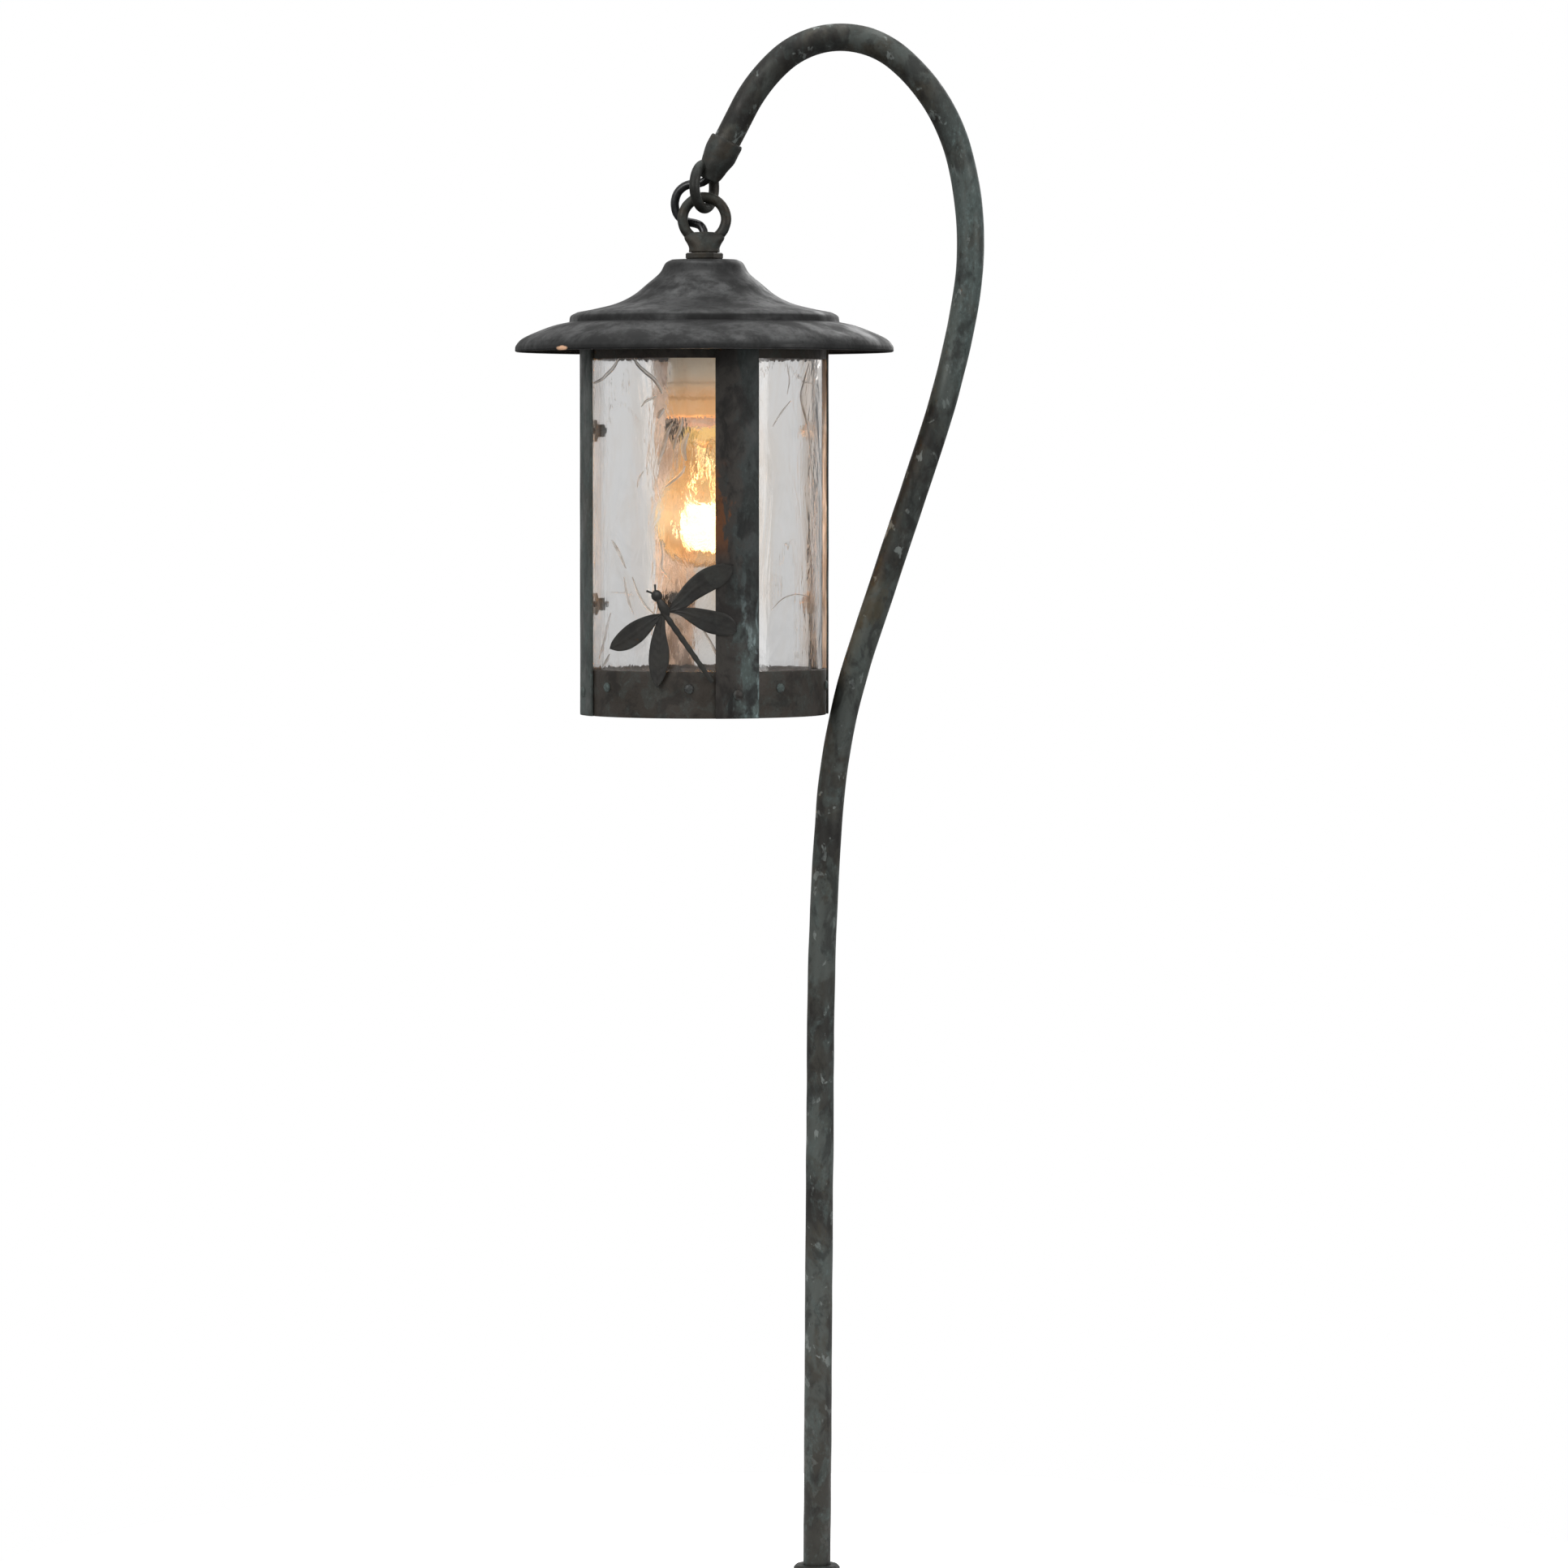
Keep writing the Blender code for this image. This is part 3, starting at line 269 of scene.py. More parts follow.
def roof_material():
    """Spun bronze: charcoal with turning marks, lighter bands, soft blotches, painted shade in the ridge's
    groove, a darker lower edge on the brim and a painted, faintly glowing spot of lamp light on the lip.
    """
    made, tree, shader = new_material("spun_roof")
    here = place(tree, (1.0, 1.0, 1.0), (-AXIS_X * MM, 0.0, 0.0))
    east, north, height = (axis_of(here, name) for name in "XYZ")
    square = plus(times(east, east), times(north, north))
    radius = maths("SQRT", square, 0.5)
    rings = add(tree, "ShaderNodeCombineXYZ")
    feed(rings, "X", radius)
    feed(rings, "Y", height)
    spun = clouds(rings.outputs["Vector"], 900.0, 3.0, 0.6)
    bands = clouds(rings.outputs["Vector"], 70.0, 3.0, 0.5)
    blotch = clouds(here, 42.0, 7.0, 0.68, 0.25)
    fine = clouds(here, 260.0, 5.0, 0.62)
    colour = mix(between(blotch, 0.40, 0.62), (0.011, 0.011, 0.011), (0.048, 0.049, 0.049))
    colour = mix(times(between(bands, 0.44, 0.60), 0.26), colour, (0.075, 0.077, 0.077))
    top = between(height, 0.800, 0.812)
    colour = mix(times(top, 0.55), colour, (0.018, 0.018, 0.018))
    colour = mix(times(between(fine, 0.50, 0.64), 0.60), colour, (0.012, 0.012, 0.012))
    # Painted shade in the groove under the ridge, and the brim darker along its lower edge.
    groove = times(between(height, 0.7788, 0.7808), between(height, 0.7846, 0.7830))
    lip = between(height, 0.7690, 0.7645)
    groove_shade_and_dark_lip = maths("MAXIMUM", times(groove, 0.60), times(lip, 0.65))
    colour = mix(groove_shade_and_dark_lip, colour, (0.010, 0.010, 0.010))
    # A painted, faintly glowing spot of the lamp's orange light on the lip's front left side.
    beside = times(plus(east, 0.0828), 250.0)
    above = times(minus(height, 0.7634), 600.0)
    away = plus(times(beside, beside), times(above, above))
    wear_and_lamp_glow = between(plus(away, fine), 1.45, 0.70)
    wear_and_lamp_glow = times(wear_and_lamp_glow, maths("LESS_THAN", north, 0.0))
    colour = mix(wear_and_lamp_glow, colour, (0.70, 0.42, 0.27))
    shader.inputs["Emission Color"].default_value = (1.0, 0.62, 0.38, 1.0)
    feed(shader, "Emission Strength", times(wear_and_lamp_glow, 0.20))
    feed(shader, "Base Color", colour)
    shader.inputs["Metallic"].default_value = 0.55
    feed(shader, "Roughness", between(blotch, 0.36, 0.64, 0.66, 0.40))
    relief = plus(times(spun, 0.35), times(fine, 0.65))
    bump(tree, shader, relief, 0.22, 0.0004)
    return made


def plain_metal(name, colour, wear_and_lamp_glow, roughness=0.32, metallic=1.0, seed=0.0, glow=None):
    """Turned metal hardware with dull patches and faint grain; glow is the lamp's light on it."""
    made, tree, shader = new_material(name)
    here = place(tree, (1.0, 1.0, 1.0), (seed, 0.0, 0.0))
    blotch = clouds(here, 120.0, 5.0, 0.6, 0.5)
    fine = clouds(here, 900.0, 4.0, 0.6)
    feed(shader, "Base Color", mix(between(blotch, 0.42, 0.66), colour, wear_and_lamp_glow))
    shader.inputs["Metallic"].default_value = metallic
    feed(shader, "Roughness", between(blotch, 0.3, 0.7, roughness, roughness + 0.22))
    if glow:
        shader.inputs["Emission Color"].default_value = (*glow, 1.0)
        shader.inputs["Emission Strength"].default_value = 0.26
    bump(tree, shader, fine, 0.15, 0.0002)
    return made


STEEL = plain_metal("aged_steel", (0.36, 0.35, 0.33), (0.13, 0.115, 0.10))
BRASS = plain_metal("socket_brass", (0.66, 0.46, 0.17), (0.36, 0.22, 0.08), 0.26, seed=4.0)
CAP_METAL = plain_metal("lit_cap", (0.62, 0.52, 0.44), (0.44, 0.32, 0.24), 0.30, metallic=0.7, seed=9.0,
                        glow=(1.0, 0.68, 0.50))


def porcelain_material():
    """Glazed lampholder, with the lamp's light painted on it: orange colour and a faint glow, strongest at the
    lower rim.
    """
    made, tree, shader = new_material("lampholder_glaze_and_lamp_glow")
    here = place(tree)
    blotch = clouds(here, 60.0, 4.0, 0.55)
    height = axis_of(here, "Z")
    ivory = mix(between(blotch, 0.35, 0.65), (0.74, 0.64, 0.50), (0.82, 0.73, 0.59))
    # Painted lamp light: orange colour and a faint glow, growing toward the lower rim.
    warm = between(height, 0.752, 0.732)
    feed(shader, "Base Color", mix(warm, ivory, (0.86, 0.52, 0.24)))
    feed(shader, "Emission Color", mix(warm, (1.0, 0.80, 0.56), (1.0, 0.50, 0.18)))
    feed(shader, "Emission Strength", between(height, 0.775, 0.728, 0.03, 0.22))
    feed(shader, "Roughness", between(blotch, 0.3, 0.7, 0.22, 0.38))
    bump(tree, shader, clouds(here, 300.0, 3.0), 0.08, 0.0003)
    shader.inputs["Coat Weight"].default_value = 0.3
    return made


def rubber_material(name, colour, roughness):
    """Black rubber with a little dust."""
    made, tree, shader = new_material(name)
    here = place(tree)
    dust = clouds(here, 150.0, 5.0, 0.6)
    lighter = tuple(c * 2.6 + 0.006 for c in colour)
    feed(shader, "Base Color", mix(between(dust, 0.48, 0.72), colour, lighter))
    feed(shader, "Roughness", between(dust, 0.3, 0.7, roughness, roughness + 0.16))
    bump(tree, shader, clouds(here, 900.0, 3.0), 0.12, 0.0002)
    return made


RUBBER = rubber_material("wire_cover", (0.006, 0.006, 0.007), 0.22)
SEAL = rubber_material("grommet_rubber", (0.014, 0.014, 0.014), 0.5)


def pane_material():
    """Clear rolled glass with slow vertical swirls, a painted warm tint of lamp light around the lamp, and
    browner at the right edge.
    """
    made, tree, shader = new_material("rippled_glass")
    here = place(tree, (1.0, 1.0, 0.30))
    swirl = clouds(here, 42.0, 3.0, 0.5, 2.2)
    small = clouds(here, 130.0, 3.0, 0.5, 1.2)
    colour = mix(between(swirl, 0.50, 0.66), (0.985, 0.985, 0.985), (0.968, 0.950, 0.930))
    plain = place(tree)
    edge = plus(axis_of(plain, "X"), -AXIS_X * MM)
    edge = plus(edge, times(minus(swirl, 0.5), 0.020))
    edge = between(edge, 0.0575, 0.0605)
    colour = mix(edge, colour, (0.930, 0.880, 0.835))
    # Painted lamp light: the glass tinted warm around the lamp's axis and height.
    beside = size_of(plus(axis_of(plain, "X"), -AXIS_X * MM))
    level = size_of(minus(axis_of(plain, "Z"), 0.672))
    near = times(between(beside, 0.052, 0.012), between(level, 0.110, 0.030))
    near = times(near, between(swirl, 0.36, 0.62, 0.35, 1.0))
    colour = mix(near, colour, (0.955, 0.865, 0.765))
    feed(shader, "Base Color", colour)
    shader.inputs["Transmission Weight"].default_value = 1.0
    shader.inputs["IOR"].default_value = 1.46
    feed(shader, "Roughness", between(small, 0.3, 0.7, 0.02, 0.07))
    crumple = clouds(place(tree, (1.0, 1.0, 0.42)), 95.0, 4.0, 0.55, 2.6)
    relief = plus(times(swirl, 0.8), times(small, 0.2))
    relief = plus(relief, times(times(near, crumple), 0.9))
    bump(tree, shader, relief, 0.16, 0.0025)
    return made


def draw_line_material():
    """Brown-grey threads rolled into the glass."""
    made, tree, shader = new_material("draw_line_glass")
    swirl = clouds(place(tree), 160.0, 3.0)
    feed(shader, "Base Color", mix(between(swirl, 0.35, 0.65), (0.52, 0.48, 0.44), (0.76, 0.73, 0.70)))
    shader.inputs["Transmission Weight"].default_value = 0.85
    shader.inputs["IOR"].default_value = 1.08
    shader.inputs["Roughness"].default_value = 0.30
    return made


def globe_material():
    """Clear amber glass that glows: brightest at the filament's height, gold at the neck, amber below."""
    made, tree, shader = new_material("lit_globe")
    here = place(tree)
    height = axis_of(here, "Z")
    streak = clouds(place(tree, (1.0, 1.0, 0.35)), 120.0, 3.0, 0.5, 1.0)
    wavy = plus(height, times(minus(streak, 0.5), 0.020))
    ramp = tree.nodes.new("ShaderNodeValToRGB")
    stops = (
        (0.00, (0.90, 0.36, 0.08)), (0.16, (1.00, 0.52, 0.16)), (0.27, (1.00, 0.90, 0.70)),
        (0.46, (1.00, 0.92, 0.74)), (0.58, (1.00, 0.66, 0.26)), (0.84, (0.95, 0.60, 0.20)),
        (1.00, (1.00, 0.80, 0.30)),
    )
    for position, colour in stops[1:-1]:
        ramp.color_ramp.elements.new(position)
    for element, (position, colour) in zip(ramp.color_ramp.elements, stops):
        element.position = position
        element.color = (*colour, 1.0)
    feed(ramp, "Fac", between(wavy, 0.633, 0.717, smooth=False))
    feed(shader, "Emission Color", ramp.outputs["Color"])
    hot = times(between(wavy, 0.640, 0.654), between(wavy, 0.686, 0.668))
    feed(shader, "Emission Strength", plus(times(hot, 0.05), between(wavy, 0.704, 0.711, 0.05, 0.11)))
    feed(shader, "Base Color", mix(streak, (0.93, 0.74, 0.46), (0.98, 0.88, 0.70)))
    shader.inputs["Transmission Weight"].default_value = 1.0
    shader.inputs["IOR"].default_value = 1.25
    shader.inputs["Roughness"].default_value = 0.10
    return made


def lamplit_material():
    """Inner side of the straps: brown bronze with the lamp's warm light on it."""
    made, tree, shader = new_material("lamplit_inner_side")
    here = place(tree)
    blotch = clouds(place(tree, (1.0, 1.0, 0.4)), 90.0, 5.0, 0.6, 0.8)
    colour = mix(between(blotch, 0.38, 0.62), (0.15, 0.115, 0.090), (0.44, 0.37, 0.31))
    feed(shader, "Base Color", colour)
    feed(shader, "Emission Color", mix(between(blotch, 0.38, 0.62), (1.0, 0.72, 0.52), (1.0, 0.86, 0.74)))
    level = size_of(minus(axis_of(here, "Z"), 0.665))
    glow = times(between(level, 0.105, 0.020), between(blotch, 0.34, 0.66, 0.16, 0.42))
    feed(shader, "Emission Strength", glow)
    feed(shader, "Roughness", between(blotch, 0.3, 0.7, 0.4, 0.7))
    shader.inputs["Metallic"].default_value = 0.2
    return made


def filament_material():
    made, tree, shader = new_material("hot_filament")
    glow = clouds(place(tree), 200.0, 2.0)
    feed(shader, "Emission Color", mix(glow, (1.0, 0.84, 0.60), (1.0, 0.93, 0.80)))
    shader.inputs["Emission Strength"].default_value = 2.2
    feed(shader, "Base Color", mix(glow, (0.9, 0.6, 0.3), (1.0, 0.8, 0.5)))
    return made


ROOF = roof_material()
PORCELAIN = porcelain_material()
PANE = pane_material()
DRAW_LINE = draw_line_material()
GLOBE = globe_material()
FILAMENT = filament_material()
LAMPLIT = lamplit_material()

# ------------------------------------------------------------------ mesh helpers


def finish_piece(name, bm, made_of, body, replaced=(), sharp=40.0):
    """A bmesh in millimetres of the row frame becomes a piece, which rides on body if one is given."""
    bmesh.ops.recalc_face_normals(bm, faces=bm.faces)
    bmesh.ops.scale(bm, vec=(MM, MM, MM), verts=bm.verts)
    mesh = bpy.data.meshes.new(name)
    bm.to_mesh(mesh)
    bm.free()
    mesh.shade_smooth()
    mesh.set_sharp_from_angle(angle=math.radians(sharp))
    mesh.materials.append(made_of)
    thing = bpy.data.objects.new(name, mesh)
    SCENE.collection.objects.link(thing)
    if body:
        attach(thing, body)
    if replaced:
        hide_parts(*([replaced] if isinstance(replaced, str) else replaced))
    return thing


def bridge(bm, rings, closed=False):
    pairs = list(zip(rings, rings[1:]))
    if closed:
        pairs.append((rings[-1], rings[0]))
    for one, two in pairs:
        for i in range(len(one)):
            j = (i + 1) % len(one)
            bm.faces.new((one[i], one[j], two[j], two[i]))


def capped(bm, rings):
    bridge(bm, rings)
    bm.faces.new(rings[0])
    bm.faces.new(rings[-1])


def join_sheets(bm, front, back):
    """Faces over two grids of vertices, and a rim that joins their borders."""
    rims = []
    for grid in (front, back):
        for one, two in zip(grid, grid[1:]):
            for k in range(len(one) - 1):
                bm.faces.new((one[k], one[k + 1], two[k + 1], two[k]))
        right, left = [row[-1] for row in grid[:-1]], [row[0] for row in grid[:0:-1]]
        rims.append(grid[0][:-1] + right + grid[-1][:0:-1] + left)
    bridge(bm, rims)


def lantern_at(z=0.0):
    return Matrix.Translation((AXIS_X, 0.0, z))


def lathe(bm, profile, where=None, segments=96, closed=True, hexed=()):
    """Turn (radius, height) points round where's Z axis; an open profile gets two caps."""
    where = lantern_at() if where is None else where
    sixth = math.pi / 3
    rings = []
    for index, (radius, height) in enumerate(profile):
        ring = []
        for i in range(segments):
            angle = math.tau * i / segments
            off = abs((angle + sixth / 2) % sixth - sixth / 2)
            reach = max(radius, 0.02)
            if index in hexed:
                reach *= math.cos(sixth / 2) / math.cos(off - sixth / 2)
            ring.append(bm.verts.new(where @ Vector((reach * math.cos(angle), reach * math.sin(angle),
                                                     height))))
        rings.append(ring)
    if closed:
        bridge(bm, rings, closed=True)
    else:
        capped(bm, rings)


def rounded(profile, radius=0.6, closed=True, steps=3):
    """The profile with each corner cut back into a small arc."""
    count = len(profile)
    result = []
    for i, point in enumerate(profile):
        here = Vector(point)
        if not closed and i in (0, count - 1):
            result.append(tuple(here))
            continue
        before = Vector(profile[i - 1])
        after = Vector(profile[(i + 1) % count])
        to_before, to_after = before - here, after - here
        cut = min(radius, to_before.length * 0.45, to_after.length * 0.45)
        a = here + to_before.normalized() * cut
        b = here + to_after.normalized() * cut
        for k in range(steps + 1):
            t = k / steps
            result.append(tuple((1 - t) ** 2 * a + 2 * t * (1 - t) * here + t * t * b))
    return result


def smooth_profile(profile, longest=1.5):
    """The closed profile with its long sides cut into short ones."""
    result = []
    for here, after in zip(profile, profile[1:] + profile[:1]):
        a, b = Vector(here), Vector(after)
        count = max(1, math.ceil((b - a).length / longest))
        result += [tuple(a.lerp(b, i / count)) for i in range(count)]
    return result


def turned(name, profile, made_of, body, replaced=(), where=None, segments=96, closed=True,
           hexed=(), corner=0.0, sharp=40.0):
    bm = bmesh.new()
    shape = rounded(profile, corner, closed) if corner else profile
    lathe(bm, shape, where, segments, closed, hexed)
    return finish_piece(name, bm, made_of, body, replaced, sharp)


def torus(bm, centre, across, up, mean_r, wire_r, segments=72, sides=24):
    normal = across.cross(up)
    rings = []
    for i in range(segments):
        turn = math.tau * i / segments
        outward = across * math.cos(turn) + up * math.sin(turn)
        rings.append([
            bm.verts.new(centre + outward * (mean_r + wire_r * math.cos(math.tau * k / sides))
                         + normal * wire_r * math.sin(math.tau * k / sides)) for k in range(sides)
        ])
    bridge(bm, rings, closed=True)


def tube(bm, line, radii, sides=24):
    """A capped tube along points, with a radius for each, kept free of twist."""
    rings = []
    side = None
    for i, point in enumerate(line):
        along = heading_at(line, i)
        if side is None:
            side = along.orthogonal().normalized()
        side = (side - along * side.dot(along)).normalized()
        third = along.cross(side)
        rings.append([
            bm.verts.new(point + (side * math.cos(math.tau * k / sides)
                                  + third * math.sin(math.tau * k / sides)) * radii[i]) for k in range(sides)
        ])
    capped(bm, rings)


def rough_up(bm, amount, scale, seed=0.0):
    """Push vertices along their normals by smooth noise, in millimetres."""
    bm.normal_update()
    for vertex in bm.verts:
        shift = noise.noise(vertex.co * scale + Vector((seed, seed, seed)))
        vertex.co += vertex.normal * shift * amount


def around(angle, radius, height=0.0):
    turn = math.radians(angle)
    return Vector((AXIS_X + radius * math.sin(turn), -radius * math.cos(turn), height))


def outward(angle, radius, height):
    """A frame on the lantern whose Z axis points outward and whose Y axis points up."""
    turn = math.radians(angle)
    out = Vector((math.sin(turn), -math.cos(turn), 0.0))
    made = Matrix((UP.cross(out), UP, out)).transposed().to_4x4()
    made.translation = around(angle, radius, height)
    return made


def curved_plate(bm, inner_r, outer_r, low, high, middle, span, across, along, edge=0.5, push=None):
    """A curved plate with softened edges; push(width, height, side) gives extra radius in mm."""

    def spots(first, last, count):
        inside = [first + edge + (last - first - 2 * edge) * i / count for i in range(count + 1)]
        return [first, *inside, last]

    half = math.radians(span) * outer_r / 2
    widths = spots(-half, half, across)
    heights = spots(low, high, along)
    sheets = []
    for side, radius, inset in (("out", outer_r, -edge * 0.55), ("in", inner_r, edge * 0.55)):
        grid = []
        for j, z in enumerate(heights):
            row = []
            for i, w in enumerate(widths):
                rim = i in (0, len(widths) - 1) or j in (0, len(heights) - 1)
                r = radius + (inset if rim else 0.0)
                if push:
                    r += push(w, z, side)
                row.append(bm.verts.new(around(middle + math.degrees(w / outer_r), r, z)))
            grid.append(row)
        sheets.append(grid)
    join_sheets(bm, *sheets)


def heading_at(line, i):
    """The direction of a line of points at its point i."""
    return (line[min(i + 1, len(line) - 1)] - line[max(i - 1, 0)]).normalized()


def between_points(a, b, c, d, t):
    return 0.5 * (2 * b + (c - a) * t + (2 * a - 5 * b + 4 * c - d) * t**2 + (3 * b - a - 3 * c + d) * t**3)


def smooth_chain(points, per_span):
    """A smooth open line through points (tuples of any size)."""
    knots = [Vector(p) for p in points]
    knots = [2 * knots[0] - knots[1], *knots, 2 * knots[-1] - knots[-2]]
    line = []
    for a, b, c, d in zip(knots, knots[1:], knots[2:], knots[3:]):
        line += [between_points(a, b, c, d, i / per_span) for i in range(per_span)]
    return line + [knots[-2]]


def smooth_line(points, spacing):
    """Points a given distance apart on a smooth curve through the given ones."""
    dense = smooth_chain(points, 20)
    length = sum((q - p).length for p, q in zip(dense, dense[1:]))
    count = max(2, round(length / spacing))
    line = [dense[0]]
    travelled = 0.0
    for p, q in zip(dense, dense[1:]):
        travelled += (q - p).length
        if travelled >= length * len(line) / count - 1e-6:
            line.append(q)
    return line[:-1] + [dense[-1]]


# ------------------------------------------------------------------ camera and wire

camera_data = bpy.data.cameras.new("camera")
camera_data.lens = 149.0
camera_data.sensor_width = 36.0
camera = bpy.data.objects.new("camera", camera_data)
camera.location = (-0.01985, -3.90134, 0.69456)
camera.rotation_euler = (math.radians(90.0 - 2.8138), 0.0, 0.0)
SCENE.collection.objects.link(camera)
SCENE.camera = camera

GAP = 0.3
WIRE_R = 2.6
WIRE_ROUTE = (
    (5.3, 0.0, 871.5), (3.8, 0.0, 868.6), (1.9, 0.4, 865.9), (-1.0, 1.4, 863.9), (-4.7, 2.7, 863.1),
    (-8.7, 4.0, 862.7), (-12.5, 5.2, 861.2), (-15.7, 6.2, 858.2), (-17.4, 6.9, 854.2), (-17.7, 7.3, 849.9),
    (-16.6, 7.5, 845.4), (-13.6, 7.5, 841.9), (-9.6, 6.7, 840.2), (-5.7, 4.9, 839.4), (-2.3, 2.4, 837.9),
    (-0.5, 0.6, 835.0), (0.0, 0.0, 831.6), (0.0, 0.0, 829.0),
)
UPPER_WIRE_LENGTH = 34.0


def split_wire(line, length):
    travelled = 0.0
    at = 0
    while travelled < length:
        travelled += (line[at + 1] - line[at]).length
        at += 1
    along = (line[at + 1] - line[at - 1]).normalized()
    upper = line[:at] + [line[at] - along * 2 * GAP, line[at] - along * 0.01]
    lower = [line[at] + along * 0.01, line[at] + along * 2 * GAP] + line[at + 1:]
    return upper, lower


def free_wire(name, line, node):
    bm = bmesh.new()
    tube(bm, line, [WIRE_R] * len(line), 20)
    piece = finish_piece(name, bm, RUBBER, None, node)
    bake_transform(piece)


upper_wire, lower_wire = split_wire(
    smooth_line([(AXIS_X + side, depth, height) for side, depth, height in WIRE_ROUTE],
                2.0), UPPER_WIRE_LENGTH)
free_wire("loop_wire_upper", upper_wire, "jumper_upper")
free_wire("loop_wire_lower", lower_wire, "jumper_lower")

# ------------------------------------------------------------------ post

TUBE_R = 8.25
TUBE_BORE_R = 6.75
POST_FOOT_Z = 16.3
POST_LEAN = 0.38
# Length and turn in degrees of each run of the tube.
POST_RUNS = ((338.0, 0.0), (132.0, 3.8), (102.0, 14.2), (128.0, 0.0), (90.0, -9.0), (88.0, -25.0),
             (67.0, -34.0), (76.5, -81.5), (37.0, -21.7), (28.5, 0.0))


def post_path(step):
    """Points up the tube's centre line, with the heading at each."""
    x, z, heading = 0.0, POST_FOOT_Z, math.radians(POST_LEAN)
    path = [(x, z, heading)]
    for length, turn in POST_RUNS:
        count = math.ceil(length / step)
        for _ in range(count):
            middle = heading + math.radians(turn) / count / 2
            x += length / count * math.sin(middle)
            z += length / count * math.cos(middle)
            heading += math.radians(turn) / count
            path.append((x, z, heading))
    return path


POST = post_path(3.0)
POST_SIDES = 40


def fine_post():
    """The bent tube with the slight unevenness of hand-bent, oxidised pipe."""
    bm = bmesh.new()
    ends = []
    for radius, lumpy in ((TUBE_R, 0.22), (TUBE_BORE_R, 0.0)):
        rings = []
        for x, z, heading in POST:
            side = Vector((math.cos(heading), 0.0, -math.sin(heading)))
            ring = []
            for k in range(POST_SIDES):
                turn = math.tau * k / POST_SIDES
                reach = side * math.cos(turn) + Vector((0.0, 1.0, 0.0)) * math.sin(turn)
                spot = Vector((x, 0.0, z)) + reach * radius
                spot += reach * lumpy * noise.noise(spot * 0.045)
                ring.append(bm.verts.new(spot))
            rings.append(ring)
        bridge(bm, rings)
        ends.append((rings[0], rings[-1]))
    bridge(bm, (ends[0][0], ends[1][0]))
    bridge(bm, (ends[0][1], ends[1][1]))
    finish_piece("crook_post", bm, POST_PATINA, "post", "crook_tube")


POST_END = Vector((POST[-1][0], 0.0, POST[-1][1]))
LOOP_R = 13.0
LOOP_WIRE_R = 3.15
LOOP_TURN = math.radians(64.0)
CROOK_LOOP = Vector((AXIS_X, 0.0, 861.2))
LANTERN_LOOP = Vector((AXIS_X, 0.0, 841.8))
END_AXIS = (CROOK_LOOP - POST_END).normalized()
END_TO_LOOP = (CROOK_LOOP - POST_END).length


def end_frame():
    side = Vector((0.0, 1.0, 0.0))
    made = Matrix((side.cross(END_AXIS), side, END_AXIS)).transposed().to_4x4()
    made.translation = POST_END
    return made


def build_post():
    fine_post()
    bm = bmesh.new()
    collar = ((8.6, -7.0), (9.6, -7.0), (10.2, -5.6), (10.2, 0.5), (9.9, 4.0), (9.2, 8.0), (8.0, 12.0),
              (7.2, 15.5), (6.2, END_TO_LOOP - 4.6), (5.0, END_TO_LOOP - 4.4), (3.3, END_TO_LOOP - 9.0),
              (3.3, 0.6), (8.6, 0.3))
    lathe(bm, smooth_profile(rounded(collar, 1.2)), end_frame(), 64)
    rough_up(bm, 0.55, 0.14, 3.0)
    across = Vector((math.cos(LOOP_TURN), math.sin(LOOP_TURN), 0.0))
    torus(bm, CROOK_LOOP, across, UP, LOOP_R, LOOP_WIRE_R)
    finish_piece("crook_end_loop", bm, CAST_PATINA, "post", "crook_eye")


PLATE_R = 60.0
PLATE_H = 6.0
PLATE_HOLE_R = 3.4
PLATE_HOLE_CIRCLE_R = 45.0


def build_base():
    edge, slope = 1.5, 3.0
    bm = bmesh.new()
    outline = ((0.0, 0.0), (PLATE_R - edge, 0.0), (PLATE_R, edge), (PLATE_R, slope),
               (PLATE_R - slope, PLATE_H), (0.0, PLATE_H))
    profile = rounded(outline, 0.8, False)
    lathe(bm, profile, Matrix.Identity(4), 128, closed=False)
    plate = finish_piece("base_disc", bm, BASE_PATINA, None, "base_plate")
    holes = bmesh.new()
    for angle in (60, 180, 300):
        turn = math.radians(angle)
        reach = Vector((math.cos(turn), math.sin(turn), 0.0)) * PLATE_HOLE_CIRCLE_R
        countersunk = ((PLATE_HOLE_R, -1.0), (PLATE_HOLE_R, 4.4), (5.6, 6.4), (5.6, 8.0))
        lathe(holes, countersunk, Matrix.Translation(reach), 32, closed=False)
    bmesh.ops.scale(holes, vec=(MM, MM, MM), verts=holes.verts)
    mesh = bpy.data.meshes.new("hole_tool")
    bmesh.ops.recalc_face_normals(holes, faces=holes.faces)
    holes.to_mesh(mesh)
    holes.free()
    tool = bpy.data.objects.new("hole_tool", mesh)
    SCENE.collection.objects.link(tool)
    cut = plate.modifiers.new("holes", "BOOLEAN")
    cut.object = tool
    cut.solver = "EXACT"
    bpy.context.view_layer.update()
    graph = bpy.context.evaluated_depsgraph_get()
    plate.data = bpy.data.meshes.new_from_object(plate.evaluated_get(graph))
    plate.modifiers.clear()
    bpy.data.objects.remove(tool, do_unlink=True)
    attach(plate, "post")
    for node in ("base_hub", "hub_set_screw", "crook_eye_screw", "cable_grommet"):
        soften(node, 0.35)


def soften(node, width):
    """A small bevel on a CAD node's edges."""
    bevel = NODES[node].modifiers.new("edges", "BEVEL")
    bevel.width = width * MM
    bevel.segments = 2
    bevel.limit_method = "ANGLE"
    bevel.angle_limit = math.radians(38)


# ------------------------------------------------------------------ lantern top

ROOF_OUTLINE = (
    (5.3, 0.0), (19.6, 0.0), (23.4, 2.2), (26.8, 8.0), (34.2, 14.4), (42.6, 21.2), (52.8, 26.2), (65.0, 29.4),
    (76.2, 31.6), (80.2, 33.8), (81.0, 37.4), (90.6, 39.6), (100.8, 43.4), (109.2, 47.4), (113.0, 51.4),
    (113.6, 54.2),
)


